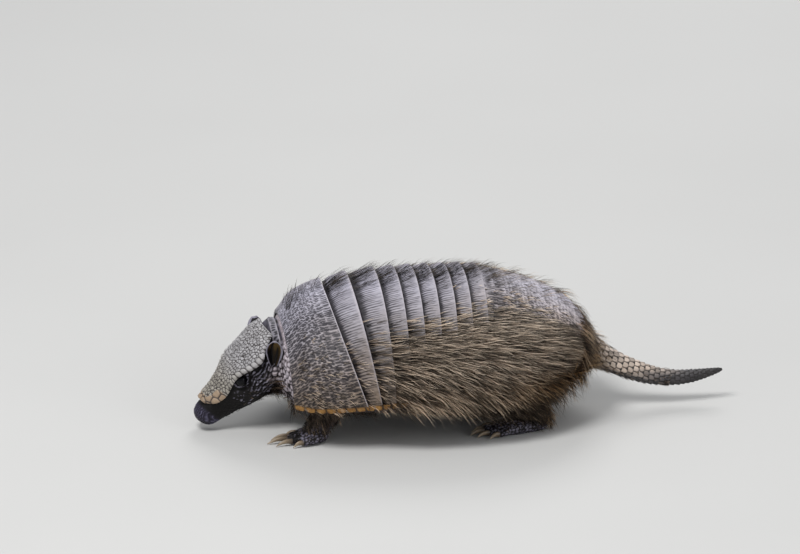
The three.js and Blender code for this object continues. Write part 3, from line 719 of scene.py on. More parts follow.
def head_shield():
    """The plated forehead: small uneven scutes, with beads along the brows and round the nose."""
    first, last = SHIELD[0][0], SHIELD[-1][0]
    ahead, q = np.linspace(first, last, 190), np.linspace(-1, 1, 131)
    half = row_at(SHIELD, ahead)[1][:, None]
    s, t = half * q[None, :], np.broadcast_to(ahead[:, None], (len(ahead), len(q)))
    inward = (1 - np.abs(q))[None, :] * half
    edge, _, tone = cells(s, t, HEAD_SCUTE, HEAD_SCUTE, 0.80, 7)
    brow, brow_edge, brow_tone = brow_beads(s, t, inward)
    nose = ease(NOSE_ROW, NOSE_ROW - 0.4, np.minimum(inward, last - t)) * ease(60, 61, t)
    nose_edge, _, nose_tone = cells(s, t, *NOSE_SCUTE, 0.35, 9)
    on_nose, large = nose > 0.5, np.maximum(brow, nose) > 0.5
    edge = np.where(large, np.where(on_nose, nose_edge, brow_edge), edge)
    tone = np.where(large, 0.5 + 0.5 * np.where(on_nose, nose_tone, brow_tone), tone)
    groove = 1 - ease(0.12, np.where(large, 0.7, 0.44), edge)
    dome = ease(0.0, np.where(large, 1.5, 0.6), edge) * np.where(large, 1.9, 0.6 + 0.8 * tone)
    pit = 0.3 * ease(0.7, 1.1, edge) * np.where(large, 0.2, 1.0) * (0.4 + 0.6 * (tone < 0.6))
    warm = np.clip(0.5 * ease(30, 58, t) + 0.5 * nose + 0.1 * brow, 0, 1)
    lift = 0.6 * dome - 0.2 * pit - 0.9 * ease(0.9, 0, inward)
    values = {"pit": pit, "tone": tone, "warm": warm, "groove": groove}
    surface = lambda v, u, lift: shield_point(v, u, lift)
    outward = lambda p: p - from_head([(38, 0, -30)])
    shield = raised_sheet("head-shield", surface, q, ahead, lift, 1.6, LOOKS["head_shield"], outward, values)
    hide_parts("head_shield")


# ---------- skin ----------

COAT_DEPTH = 3.0  # the skin lies this far inside the trunk's solid, under the hair
VOXEL = 0.9  # size of the skin's quads
COLLAR = 4.0  # how far the skin stands up round the front of the shell
LID = {"half": 5.4, "tall": 4.3, "thick": 0.9}  # the opening between the lids, and their rims
MOUTH = {"ahead": 62, "up": -29.5, "slope": 0.16}
NOSTRIL, NOSTRIL_SIZE = (89.5, 4.6, -13.5), (2.2, 1.5, 1.7)  # ahead, out and up on the head
CREASE, WRINKLE = 3.1, 2.1  # spacing of the cheek's creases and of the nose's wrinkles
SCALE = {"face": 2.6, "neck": 4.4, "collar": 2.5, "foot": 2.8}  # sizes of the skin's round scales
FLESH = [  # the nodes that the one skin stands for
    "trunk", "neck", "head", "ear_left", "ear_right", "tail_root", "tail_middle", "tail_tip",
    *(leg["name"] for leg in LEGS),
]


def loft(rings):
    """A closed surface of triangles through rings with the same number of points."""
    rings = np.asarray(rings)
    count, sides, _ = rings.shape
    quads = grid_faces(count, sides, closed=True)
    faces = np.concatenate([quads[:, [0, 1, 2]], quads[:, [0, 2, 3]]])
    points = np.concatenate([rings.reshape(-1, 3), [rings[0].mean(0), rings[-1].mean(0)]])
    i = np.arange(sides)
    after = (i + 1) % sides
    last = (count - 1) * sides
    low = np.stack([after, i, np.full(sides, count * sides)], 1)
    high = np.stack([last + i, last + after, np.full(sides, count * sides + 1)], 1)
    faces = np.concatenate([faces, low, high])
    a, b, c = (points[faces[:, k]] for k in range(3))
    return points, faces if np.sum(a * np.cross(b, c)) > 0 else faces[:, ::-1]


def tube(stops, sides, up, density=6):
    """A round-sectioned body along (point, half width, half height) stops, smooth between them."""
    line = np.array([[*point, half, height] for point, half, height in stops], float)
    keys = np.arange(len(line)) * 1.0
    fine = np.linspace(0, len(line) - 1, (len(line) - 1) * density + 1)
    x, y, z, half, height = row_at(np.column_stack([keys, line]), fine)
    path = np.stack([x, y, z], -1)
    forward = unit(np.gradient(path, axis=0))
    sideways = unit(np.cross(forward, up))
    upward = np.cross(sideways, forward)
    angle = np.linspace(0, 2 * math.pi, sides, endpoint=False)[None, :, None]
    return loft(
        path[:, None] + sideways[:, None] * half[:, None, None] * np.cos(angle)
        + upward[:, None] * height[:, None, None] * np.sin(angle)
    )


def trunk_rings(inset):
    """Sections of the trunk: close under the plates above, inside the coat below."""
    xs = np.concatenate([[-139], np.linspace(-136, SHELL_REAR, 60)])
    turn_in = np.linspace(0, 1, 41)
    upper = shell_point(xs[:, None], 1 - turn_in[None, :], -PLATE - 0.8)
    margin = upper[:, :1]
    lean = np.radians(row_at(SHELL, xs)[1])[:, None]
    belly, power = row_at(BELLY, xs)
    angle = math.pi * (1 + np.linspace(0, 1, 30)[1:-1])[None, :]
    z = margin[..., 2] + (margin[..., 2] - belly[:, None] - inset) * signed_power(
        np.sin(angle), 2 / power[:, None])
    tuck = 1 - inset / np.abs(margin[..., 1]) * ease(0, -8, z - margin[..., 2])
    y = margin[..., 1] * signed_power(np.cos(angle), 2 / power[:, None]) * tuck
    x = margin[..., 0] + (margin[..., 2] - z) * np.tan(lean) * BELLY_LEAN
    rings = np.concatenate([upper, np.stack([x, y, z], -1)], axis=1)
    last = rings[-1]
    caps = [(last - last.mean(0)) * scale + last.mean(0) + (back, 0, 0)
            for back, scale in [(1.5, 0.94), (3, 0.84), (4.5, 0.7), (6, 0.5)]]
    return np.concatenate([rings, caps])


def head_rings():
    ahead = np.concatenate([np.linspace(HEAD[0][0], HEAD[-1][0], 70), [HEAD[-1][0] + 0.5]])
    half, top, bottom = row_at(HEAD, ahead)
    half, top, bottom = half.copy(), top.copy(), bottom.copy()
    half[-1], top[-1], bottom[-1] = 3, -10, -15.5  # the blunt end of the nose
    under = ease(90, 72, ahead) * 0.4  # the skin stays this far below the shield
    level = top - HEAD_WIDEST * (top - bottom)
    angle = np.linspace(0, 2 * math.pi, 80, endpoint=False)[None, :]
    rise = np.where(np.cos(angle) > 0, (top - level - under)[:, None], (level - bottom - 0.4)[:, None])
    return from_head(np.stack(np.broadcast_arrays(
        ahead[:, None],
        (half - 0.4)[:, None] * signed_power(np.sin(angle), 2 / HEAD_POWER),
        level[:, None] + rise * signed_power(np.cos(angle), 2 / HEAD_POWER),
    ), -1))


def ear(side):
    """One cupped ear: its points, its faces, and what its skin carries."""
    base, tip, opening = (np.array(EAR[k], float) * (1, side, 1) for k in ("base", "tip", "opening"))
    axis = tip - base
    opening = unit(opening - axis * (opening @ axis) / (axis @ axis))
    # Both vectors are in the head's (ahead, out, up), a left-handed frame.
    across = unit(np.cross(axis, opening))
    v, q = np.linspace(0, 1, 48)[:, None], np.linspace(-1, 1, 56)[None, :]
    share = row_at(EAR_OUTLINE, v)[0]
    border = np.maximum(np.abs(q), ease(0.80, 1.0, v))
    fold = np.sin(q * 7 + 3 * v) * ease(0.9, 0.5, np.abs(q))
    sheets, ridges, hollows = [], [], []
    for back in (0, 1):
        curl = EAR["cup"] * share * (q * q - 1) - back * EAR["thickness"] * (1 - 0.3 * q * q)
        curl = curl + (1 - back) * (0.25 * fold - 1.2 * ease(0.75, 0.3, border))
        curl = curl + 0.5 * ease(0.78, 0.9, border) * ease(1.02, 0.95, border)
        grid = (base + axis * v[..., None] + across * (EAR["half"] * share * q)[..., None]
                + opening * curl[..., None])
        rim = ease(0.74, 0.88, border)
        inner = 1.0 * ease(0.25, 0.95, v) - 0.4 * q + 0.2 * fold
        ridge = (0.30 if back else inner) * (1 - rim) + (0.75 + 0.25 * v) * rim + 0 * curl
        hollow = (1 - back) * ease(0.82, 0.70, border) + 0 * curl
        turn = slice(None) if back == 0 else slice(None, None, -1)
        sheets.append(grid[:, turn])
        ridges.append(ridge[:, turn])
        hollows.append(hollow[:, turn])
    points, faces = loft(from_head(np.concatenate(sheets, axis=1)))
    ends = [0.4, 0.9]
    values = {"ridge": np.append(np.concatenate(ridges, axis=1), ends),
              "hollow": np.append(np.concatenate(hollows, axis=1), [0, 0])}
    return points, faces, values


def leg_parts(leg):
    """A leg's limb, paw and digits, as closed bodies."""
    foot = leg["foot"]
    limb = [(foot_point(leg, a, o, u), r - 1.2, r - 1.2) for a, o, u, r in foot["limb"]]
    parts = [tube(limb, 32, (1, 0, 0))]
    paw = []
    for share, wide, high in PAW:
        tall = (foot["height"] * high + SOLE_DIP) / 2
        ahead = -foot["heel"] + (foot["front"] + foot["heel"]) * share
        paw.append((foot_point(leg, ahead, 0, tall - SOLE_DIP), foot["half"] * wide - 0.4, tall - 0.3))
    parts.append(tube(paw, 32, UP))
    for digit in foot["digits"]:
        parts.append(tube(digit_stops(leg, digit), 16, UP))
    return parts


def digit_stops(leg, digit):
    out, reach, _ = digit
    toe = leg["foot"]["toe"]
    return [(foot_point(leg, reach - behind, out * outward, toe + lift), toe * radius, toe * radius)
            for behind, outward, lift, radius in DIGIT]


def tail_core():
    stops = [((x, 0, z), r - 0.5, r - 0.5) for x, z, r in [(84, 58, 12)] + TAIL[:-1]]
    stops.append(((213, 0, 26.3), 0.5, 0.5))
    return tube(stops, 40, UP)


def joined(parts):
    """All the parts as one bare mesh, in metres."""
    points, faces, first = [], [], 0
    for part_points, part_faces in parts:
        points.append(part_points)
        faces.append(part_faces + first)
        first += len(part_points)
    return np.concatenate(points), np.concatenate(faces)


def read_points(mesh):
    points = np.empty(len(mesh.vertices) * 3, np.float32)
    mesh.vertices.foreach_get("co", points)
    return points.reshape(-1, 3).astype(float) * 1000


def remeshed(points, faces, voxel):
    """The outer surface of overlapping closed parts, as one even mesh: points and faces."""
    mesh = bpy.data.meshes.new("rough")
    mesh.from_pydata((points * 0.001).tolist(), [], faces.tolist())
    rough = bpy.data.objects.new("rough", mesh)
    bpy.context.scene.collection.objects.link(rough)
    modifier = rough.modifiers.new("voxels", "REMESH")
    modifier.mode, modifier.voxel_size = "VOXEL", voxel * 0.001
    graph = bpy.context.evaluated_depsgraph_get()
    result = bpy.data.meshes.new_from_object(rough.evaluated_get(graph))
    points = read_points(result)
    faces = np.empty(len(result.polygons) * 4, np.int32)
    result.polygons.foreach_get("vertices", faces)
    bpy.data.objects.remove(rough)
    bpy.data.meshes.remove(mesh)
    bpy.data.meshes.remove(result)
    return points, faces.reshape(-1, 4)


def neighbours(faces, count):
    """The edges of a mesh of quads both ways, and how many meet at each point."""
    pairs = np.concatenate([faces[:, [k, (k + 1) % 4]] for k in range(4)])
    return pairs, np.maximum(np.bincount(pairs[:, 0], minlength=count), 1)


def relaxed(points, faces, rounds):
    """Each point moved towards the middle of its neighbours, `rounds` times."""
    pairs, degree = neighbours(faces, len(points))
    for _ in range(rounds):
        mean = np.stack(
            [np.bincount(pairs[:, 0], points[pairs[:, 1], k], len(points)) for k in range(3)], -1)
        points = points + 0.5 * (mean / degree[:, None] - points)
    return points


def normals_of(points, faces):
    a, b, c, d = (points[faces[:, k]] for k in range(4))
    face = np.cross(c - a, d - b)
    total = np.zeros_like(points)
    for k in range(4):
        for axis in range(3):
            total[:, axis] += np.bincount(faces[:, k], face[:, axis], len(points))
    return unit(total)


def eye_frame(side):
    """The eye's middle, and the ways out of the head, forward and up along its surface."""
    centre = from_head([(EYE["ahead"], side * EYE["out"], EYE["up"])])[0]
    out = unit(np.array([0.22, side * 1.0, 0.10]) * (-1, 1, 1) @ HEAD_TURN.T)
    forward = np.array([1.0, 0, 0]) * (-1, 1, 1) @ HEAD_TURN.T
    forward = unit(forward - out * (forward @ out))
    up = np.cross(forward, out) * side
    return centre, out, forward, up


def shape_eye(points, side, ridge):
    """Opens the lids over an eyeball and raises their rims."""
    centre, out, forward, up = eye_frame(side)
    local = points - centre
    a, b, c = local @ forward, local @ up, local @ out
    far = np.hypot(a / LID["half"], b / LID["tall"])  # 1 at the edge of the opening
    near = (far < 2.2) & (c > -8)
    ball = np.sqrt(np.maximum(EYE["radius"] ** 2 - a**2 - b**2, 0))
    lid = ball * ease(2.2, 0.9, far) + LID["thick"] * np.exp(-((far - 1.12) / 0.16) ** 2)
    sunk = np.maximum(lid, 1.2 - 1.6 * ease(1.2, 2.0, far))
    target = np.where(far < 1, ball - 1.6, sunk)
    share = np.where(far < 1, ease(1.02, 0.94, far), ease(2.1, 1.35, far)) * near
    points = points + (share * (target - c))[:, None] * out
    rim = near * np.exp(-((far - 1.12) / 0.14) ** 2)
    fold = near * np.exp(-((far - 1.55) / 0.10) ** 2)
    # The lid's rim is paler, most in front and below; the fold round it is painted shade.
    ridge += rim * (0.5 + 1.1 * ease(-2, 4, a - b)) - 0.9 * fold
    return points - (0.5 * fold)[:, None] * out, ridge


class Relief:
    """What folds and scales do to the skin: how far they lift it, and how light it is there, real pale
    scales together with painted highlights on raised folds and painted shade in creases and hollows.
    """

    def __init__(self, points):
        self.points, self.x, self.z = points, points[:, 0], points[:, 2]
        self.ahead, self.out, self.up = to_head(points).T
        self.lift, self.ridge = np.zeros(len(points)), np.zeros(len(points))
        self.head = ease(2, 10, self.ahead) * ease(6, 2, self.x + 139) * (self.x < -125)


def neck_scales(skin):
    """Round scales on the neck behind the ear, and smaller ones on the collar: where, how pale."""
    neck = ease(-151.5, -149, skin.x) * ease(82, 70, skin.z)
    cheek = ease(34, 22, skin.ahead) * ease(-18, -27, skin.up)
    scaly = np.maximum(neck, cheek) * ease(-128, -134, skin.x) * ease(24, 31, skin.z)
    edge, tone = grains(skin.points, SCALE["neck"], 21)
    dome = ease(0.0, 1.0, edge)
    skin.lift += scaly * (1.3 * dome - 0.6)
    skin.ridge += scaly * (1.6 * dome - 0.7)
    pale = scaly * ease(0.05, 0.6, edge) * (0.6 + 0.4 * tone)
    collar = ease(-146, -145.2, skin.x) * ease(50, 64, skin.z) * (skin.x < -134)
    edge, tone = grains(skin.points, SCALE["collar"], 23)
    dome = ease(0.0, 0.5, edge)
    skin.lift += 0.3 * collar * dome
    skin.ridge += collar * (1.2 * dome * (0.5 + 0.5 * tone) - 0.5)
    nape = ease(-151, -149.5, skin.x) * ease(-144.4, -145.6, skin.x)
    skin.lift -= 1.0 * nape * ease(60, 66, skin.z)
    return scaly, np.maximum(pale, 0.7 * collar)


def face_tubercles(skin, face):
    edge, tone = grains(skin.points, SCALE["face"], 11)
    dome = ease(0.0, 0.55, edge)
    coarse = face * (0.25 + 0.75 * (tone > 0.45))
    skin.lift += 0.45 * face * (dome - 0.5) * (0.5 + tone)
    skin.ridge += face * (1.2 * dome * (0.3 + tone) - 0.78) * (0.4 + 0.6 * coarse)


def face_creases(skin, face):
    """Creases that run from the eye and the ear down to the throat."""
    points, ahead, up = skin.points, skin.ahead, skin.up
    line = 0.11 * ahead + up + 1.5 * ripple(points, 12, 3) + 0.5 * ripple(points, 4, 5)
    creases = face * ease(50, 36, ahead) * ease(-8, -14, up) * ease(-44, -36, up)
    wave = np.sin(line * 2 * math.pi / CREASE)
    skin.lift += 0.65 * creases * wave
    # Painted highlight on the folds' crests and painted shade in the creases.
    skin.ridge += creases * (1.2 * wave + 0.1) * np.clip(0.6 + 0.8 * ripple(points, 4.5, 8), 0, 1.2)


def face_shade(skin):
    """Painted shade under the shield's edge and along the underside of the jaw, and darker skin over the
    muzzle.
    """
    top, _, droop = row_at(SHIELD, np.clip(skin.ahead, 0, 76))
    under = ease(-7.5, -2.5, skin.up - top + droop)
    under = under * ease(12, 20, skin.ahead) * ease(78, 72, skin.ahead)
    muzzle = ease(54, 66, skin.ahead) * ease(82, 78, skin.ahead)
    skin.ridge -= skin.head * (1.1 * under + 0.8 * muzzle + 0.35 * ease(-28, -36, skin.up))


def mouth(skin):
    above = skin.up - (MOUTH["up"] + MOUTH["slope"] * (skin.ahead - MOUTH["ahead"]))
    gape = ease(58, 62, skin.ahead) * ease(88, 84, skin.ahead) * skin.head
    slit = np.exp(-((above / 0.7) ** 2)) * gape
    lip = np.exp(-(((above - 1.6) / 1.0) ** 2)) * gape
    # Painted shade in the slit and a painted highlight on the lip.
    skin.lift += 0.35 * lip - 1.1 * slit
    skin.ridge += 0.25 * lip - 1.2 * slit


def nose_pad(skin):
    """The wrinkled end of the nose and its nostrils: where it is."""
    points, ahead, up = skin.points, skin.ahead, skin.up
    nose = ease(78, 81, ahead) * ease(-25, -21, up)
    fold = np.sin((skin.out + 0.35 * up + 0.8 * ripple(points, 5, 9)) * 2 * math.pi / WRINKLE)
    fold = fold * np.clip(0.7 + 0.5 * ripple(points, 3.5, 15), 0.1, 1)
    blunt = 1 - 0.85 * ease(87.5, 89.5, ahead)
    off = zip((ahead, np.abs(skin.out), up), NOSTRIL, NOSTRIL_SIZE)
    nostril = np.exp(-sum(((value - middle) / size) ** 2 for value, middle, size in off))
    # Painted highlights on the wrinkles' crests, and painted shade in their grooves and in the nostrils.
    skin.lift += 0.4 * nose * fold * blunt - 3.0 * nostril
    skin.ridge += 0.85 * nose * fold * blunt - 3.5 * nostril
    return nose


def feet_scales(skin):
    feet = ease(20, 10, skin.z) * (np.abs(skin.points[:, 1]) > 25) * (skin.x < 80)
    edge, _ = grains(skin.points * (1, 1, 1.2), SCALE["foot"], 31)
    dome = ease(0.0, 0.6, edge)
    skin.lift += 0.4 * feet * (dome - 0.5)
    skin.ridge += feet * (0.8 * dome - 0.35)
    return feet


def shape_skin(points, normals):
    """Folds, tubercles and the features of the head: moved points and what the skin carries."""
    skin = Relief(points)
    scaly, pale = neck_scales(skin)
    face = skin.head * ease(84, 70, skin.ahead) * (1 - scaly)
    face_tubercles(skin, face)
    face_creases(skin, face)
    face_shade(skin)
    mouth(skin)
    nose = nose_pad(skin)
    feet = feet_scales(skin)
    body = 1 - np.clip(skin.head + scaly + feet, 0, 1)
    soft = ripple(points * (1, 0.5, 1), 5, 41)
    skin.lift += 0.3 * body * soft
    skin.ridge += 0.2 * body * soft
    points, ridge = points + skin.lift[:, None] * normals, skin.ridge
    for side in (-1, 1):
        points, ridge = shape_eye(points, side, ridge)
    belly = body * ease(40, 26, points[:, 2]) * (points[:, 0] > -135) * (points[:, 0] < 90)
    values = {
        "ridge": np.clip(0.5 + 0.5 * ridge, 0, 1), "pale": np.clip(pale, 0, 1), "nose": nose,
        "belly": belly, "hollow": np.zeros(len(points)),
    }
    return points, values


def flesh_parts():
    """The overlapping closed bodies that the skin goes over, all but the ears."""
    turns = np.linspace(0, 2 * math.pi, 64, endpoint=False)[None, :]
    xs = np.linspace(NECK[0][0], NECK[-1][0], 24)[:, None]
    collar = COLLAR * ease(-145.4, -142.2, xs) * (np.cos(turns) > -0.3)
    neck = neck_point(xs, turns, collar - 0.8)
    parts = [loft(trunk_rings(COAT_DEPTH)), loft(head_rings()), tail_core(), loft(neck)]
    for leg in LEGS:
        parts += leg_parts(leg)
    return parts


def skin():
    """One skin over all the flesh. Returns the body's points and quads, for the coat's roots."""
    points, quads = remeshed(*joined(flesh_parts()), VOXEL)
    points = relaxed(points, quads, 8)
    points[:, 2] = np.maximum(points[:, 2], 0.0)
    body, values = shape_skin(points, normals_of(points, quads))
    body[:, 2] = np.maximum(body[:, 2], 0.0)
    points, faces = body, np.concatenate([quads[:, [0, 1, 2]], quads[:, [0, 2, 3]]])
    for side in (-1, 1):
        extra, extra_faces, carried = ear(side)
        faces = np.concatenate([faces, extra_faces + len(points)])
        points = np.concatenate([points, extra])
        for key in values:
            values[key] = np.append(values[key], carried.get(key, np.zeros(len(extra))))
    piece = new_mesh("skin-all", points, faces, LOOKS["skin"], values)
    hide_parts(*FLESH)
    return body, quads


# ---------- tail, claws and eyes ----------

TAIL_FINE, TAIL_ROUND = 0.48, 132  # spacing of the tail's points along it, and their count round it


def tail_scales():
    """Rings of scales at the tail's root, then rounded overlapping ones to its tip."""
    along = np.linspace(0.015, 0.995, round(TAIL_LENGTH / TAIL_FINE))
    turn = np.linspace(-math.pi, math.pi, TAIL_ROUND + 1)[:-1]
    at, round_it = along[:, None], turn[None, :]
    radius = row_at(TAIL_ROWS, along)[2][:, None]
    count = np.round(np.interp(along, [0, 0.35, 0.7, 1], [13, 11, 9, 6]))[:, None]
    width = 2 * math.pi / count
    length = np.interp(along, [0, 0.3, 0.7, 1], [5.6, 5.2, 4.2, 2.6])
    row = np.concatenate([[0], np.cumsum(np.diff(along * TAIL_LENGTH) / length[1:])])[:, None]
    row = row + 0.10 * np.sin(2 * turn + 7 * at) + 0.05 * np.sin(5 * turn + 1)
    whole, part = np.floor(row), np.mod(row, 1)
    column = round_it / width + 0.5 * np.mod(whole, 2)
    across = np.abs(np.mod(column, 1) - 0.5) * 2
    tone = chance(whole, np.mod(np.floor(column), count), 6)
    edge = np.minimum((1 - across) * width * radius / 2, (1 - part) * length[:, None])
    corner = 1.14 - np.hypot(across, np.maximum(part * 1.5 - 0.5, 0))
    gap = 1 - ease(0.08, 0.44, np.minimum(edge / 1.6, corner))
    lift = (0.15 + 0.95 * part) * (1 - gap) * np.minimum(1, radius / 5) - 0.2
    # Painted shade: the underside darkens nearer the root than the top does, and the top is kept lighter.
    below = np.cos(round_it)
    seen = at + 0.34 * ease(-0.1, -0.85, below) - 0.16 * ease(0.3, 0.9, below)
    values = {"pit": gap, "tone": tone, "along": np.where(at > 0.86, at, seen)}
    points = tail_point(at, round_it, lift).reshape(-1, 3)
    faces = facing(points, grid_faces(len(along), len(turn), closed=True), lambda p: p * (0, 1, 0))
    piece = new_mesh("tail-scales", points, faces, LOOKS["tail"], values)


def claws(leg):
    """The curved claws of one foot."""
    points, faces, along, first = [], [], [], 0
    for digit in leg["foot"]["digits"]:
        _, (knuckle, _, _), (end, _, _) = digit_stops(leg, digit)
        forward = unit(end - knuckle)
        level = unit(forward * (1, 1, 0))
        bed = end - forward * CLAW["bed"]
        stops = []
        for share in np.linspace(0, 1, 9):
            point = bed + level * (digit[2] + CLAW["root"]) * share
            z = bed[2] + (CLAW["lowest"] - bed[2]) * share**1.4
            point = np.array([point[0], point[1], z + CLAW["rise"] * math.sin(math.pi * share)])
            thin = 1 - share**1.8
            stops.append((point, CLAW["tip"] + (CLAW["half"] - CLAW["tip"]) * thin,
                          CLAW["tip"] + (CLAW["height"] - CLAW["tip"]) * thin))
        part, part_faces = tube(stops, 14, UP, density=2)
        points.append(part)
        faces.append(part_faces + first)
        along.append(np.concatenate([np.repeat(np.linspace(0, 1, 17), 14), [0, 1]]))
        first += len(part)
    piece = new_mesh(f"{leg['name']}-claws".replace("_", "-"), np.concatenate(points),
                     np.concatenate(faces), LOOKS["claw"], {"along": np.concatenate(along)})
    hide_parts(*(f"{leg['name']}_claw_{i + 1}" for i in range(5)))


def eyeball(side, name):
    centre, out, forward, up = eye_frame(side)
    polar = np.linspace(0.02, math.pi - 0.02, 33)[:, None]
    turn = np.linspace(0, 2 * math.pi, 64, endpoint=False)
    ring = np.stack(np.broadcast_arrays(
        np.cos(polar), np.sin(polar) * np.cos(turn), np.sin(polar) * np.sin(turn),
    ), -1)
    points, faces = loft(centre + EYE["radius"] * ring @ np.array([out, forward, up]))
    ball = new_mesh(f"eyeball-{name}", points, faces, LOOKS["eye"])
    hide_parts(f"eye_{name}")


# ---------- coat ----------

ARC = 262  # length of the section across the shell, about
POINTS = 5  # along a lock of hair, its tip included
PATCH = 0.003  # size of a tuft's patch on the map
FLAT = 0.6  # thickness of a lock by its width
SHELL_TUFT = 2  # locks in a tuft on the shell
COATS = {  # tufts in a piece of the coat, and the width of their locks
    "flank": (4300, 0.66), "back": (640, 0.32), "skirt": (2600, 0.6),
    "legs": (1500, 0.4), "face": (1300, 0.28), "tail": (1000, 0.36),
}


def over_shell(x, across, lift):
    """A point over the shell, carried on straight past its rear and its lower edges."""
    inside_x, inside = np.minimum(x, SHELL_REAR - 1), np.clip(across, 0, 1)
    points = shell_point(inside_x, inside, lift)
    past = (x - inside_x)[..., None]
    beyond = (np.abs(across - inside) * ARC)[..., None]
    way = np.where(across > 0.5, 1.0, -1.0)[..., None]
    return points + past * (points * (0, -0.010, 0) + (0.50, 0, -0.62)) + beyond * (way * (0, 0.12, 0) - UP)


def locks(paths, widths):
    """Closed tapering locks along (n, POINTS, 3) paths: points, triangles and place along each."""
    count = len(paths)
    forward = unit(np.gradient(paths, axis=1))
    sideways = unit(np.cross(forward, UP + 1e-3))
    upward = np.cross(sideways, forward)
    t = np.linspace(0, 1, POINTS)
    girth = (widths[:, None] * np.interp(t, [0, 0.35, 1], [0.75, 1, 0.1])[None, :] / 2)[..., None]
    rings = []
    for k in range(3):
        angle = 2 * math.pi * k / 3
        rings.append(paths + girth * (sideways * math.cos(angle) + FLAT * upward * math.sin(angle)))
    body = np.stack(rings, 2)[:, :-1].reshape(count, -1, 3)  # (POINTS - 1) rings of three
    points = np.concatenate([body, paths[:, -1:]], axis=1)
    each = points.shape[1]
    faces = [[0, 2, 1]]
    for j in range(POINTS - 2):
        for k in range(3):
            a, b = 3 * j + k, 3 * j + (k + 1) % 3
            faces += [[a, b, b + 3], [a, b + 3, a + 3]]
    top = 3 * (POINTS - 2)
    faces += [[top + k, top + (k + 1) % 3, each - 1] for k in range(3)]
    along = np.append(np.repeat(t[:-1], 3), 1.0)
    faces = (np.array(faces)[None] + np.arange(count)[:, None, None] * each).reshape(-1, 3)
    return points.reshape(-1, 3), faces, np.tile(along, count), each


def coat(name, paths, widths, tone, dark, gold, place):
    """One piece of the coat. `place` is where each lock's tuft has its patch on the map."""
    points, faces, along, each = locks(paths, widths)
    points[:, 2] = np.maximum(points[:, 2], 0.4)
    span = np.append(np.repeat(np.linspace(-0.5, 0.5, POINTS)[:-1], 3), 0.5)
    round_it = np.append(np.tile([-0.5, 0, 0.5], POINTS - 1), 0.0)
    patch = np.tile(np.stack([round_it, span], -1), (len(paths), 1))
    uv = np.repeat(0.01 + 0.98 * place, each, axis=0) + PATCH * patch
    values = {key: np.repeat(v, each) for key, v in (("tone", tone), ("dark", dark), ("gold", gold))}
    piece = new_mesh(name, points, faces, LOOKS["hair"], {"along": along, **values}, uv, smooth=False)
    return piece


def spread(rng, count, density):
    """Roots on the shell as (centre x, place across), as dense as `density` says (0..1)."""
    xs, us = [], []
    while len(xs) < count:
        x = rng.uniform(SHELL_FRONT + 4, SHELL_REAR, 4 * count)
        u = rng.uniform(0, 1, 4 * count)
        keep = rng.uniform(0, 1, 4 * count) < density(x, np.abs(2 * u - 1))
        xs, us = np.append(xs, x[keep]), np.append(us, u[keep])
    return xs[:count], us[:count]


def shell_coat(name, rng, x0, u0, on_map, width, length, stand, droop, dark, gold):
    """Tufts that lie back over the shell, by functions of x and the share of the way down.

    `on_map` is where each root is across the map.
    """
    h0 = np.abs(2 * u0 - 1)
    place = np.stack([(x0 - SHELL_FRONT) / (SHELL_REAR - SHELL_FRONT), on_map], -1)
    place = np.repeat(np.clip(place, 0, 1), SHELL_TUFT, axis=0)
    streak = ripple(np.stack([0.2 * x0, u0 * ARC, 0 * x0], -1), 4.5, 61)
    tone = 0.5 + 0.42 * streak + 0.6 * (rng.uniform(0, 1, len(x0)) - 0.5)
    tone = np.repeat(np.clip(tone, 0, 1), SHELL_TUFT)
    count = len(tone)
    x = np.repeat(x0, SHELL_TUFT) + rng.normal(0, 0.7, count)
    u = np.repeat(u0, SHELL_TUFT) + rng.normal(0, 0.7 / ARC, count)
    reach = (np.repeat(length(x0, h0), SHELL_TUFT) * rng.uniform(0.7, 1.15, count))[:, None]
    stray = rng.normal(0, 1, count) * (8 + 9 * ease(55, 90, x))
    fall = np.radians(np.repeat(droop(x0, h0), SHELL_TUFT) + stray)[:, None]
    rise = (np.repeat(stand(x0, h0), SHELL_TUFT) * rng.uniform(0.5, 1.3, count))[:, None]
    bend = rng.normal(0, 1.2, count)[:, None]
    t = np.linspace(0, 1, POINTS)[None, :]
    way = np.where(u > 0.5, 1.0, -1.0)[:, None]
    xs = x[:, None] + reach * np.cos(fall) * t
    us = u[:, None] + way * (reach * np.sin(fall) * t**1.3 + bend * t**2) / ARC
    lift = -0.6 + (0.6 + rise) * np.sin(t * 1.9) / math.sin(1.9) * (0.4 + 0.6 * t)
    widths = width * rng.uniform(0.6, 1.3, count) * (0.75 + 0.7 * tone)
    h = np.abs(2 * u - 1)
    return coat(name, over_shell(xs, us, lift), widths, tone, dark(x, h, rng), gold(x, h), place)


def skin_roots(rng, points, faces, count, density):
    """Roots on the skin with their normals, as dense as `density` says of each point."""
    a, b, c, d = (points[faces[:, k]] for k in range(4))
    normal = np.cross(c - a, d - b)
    area = np.linalg.norm(normal, axis=1)
    middle = (a + b + c + d) / 4
    weight = area * density(middle, unit(normal))
    picks = rng.choice(len(faces), count, p=weight / weight.sum())
    return middle[picks], unit(normal)[picks]


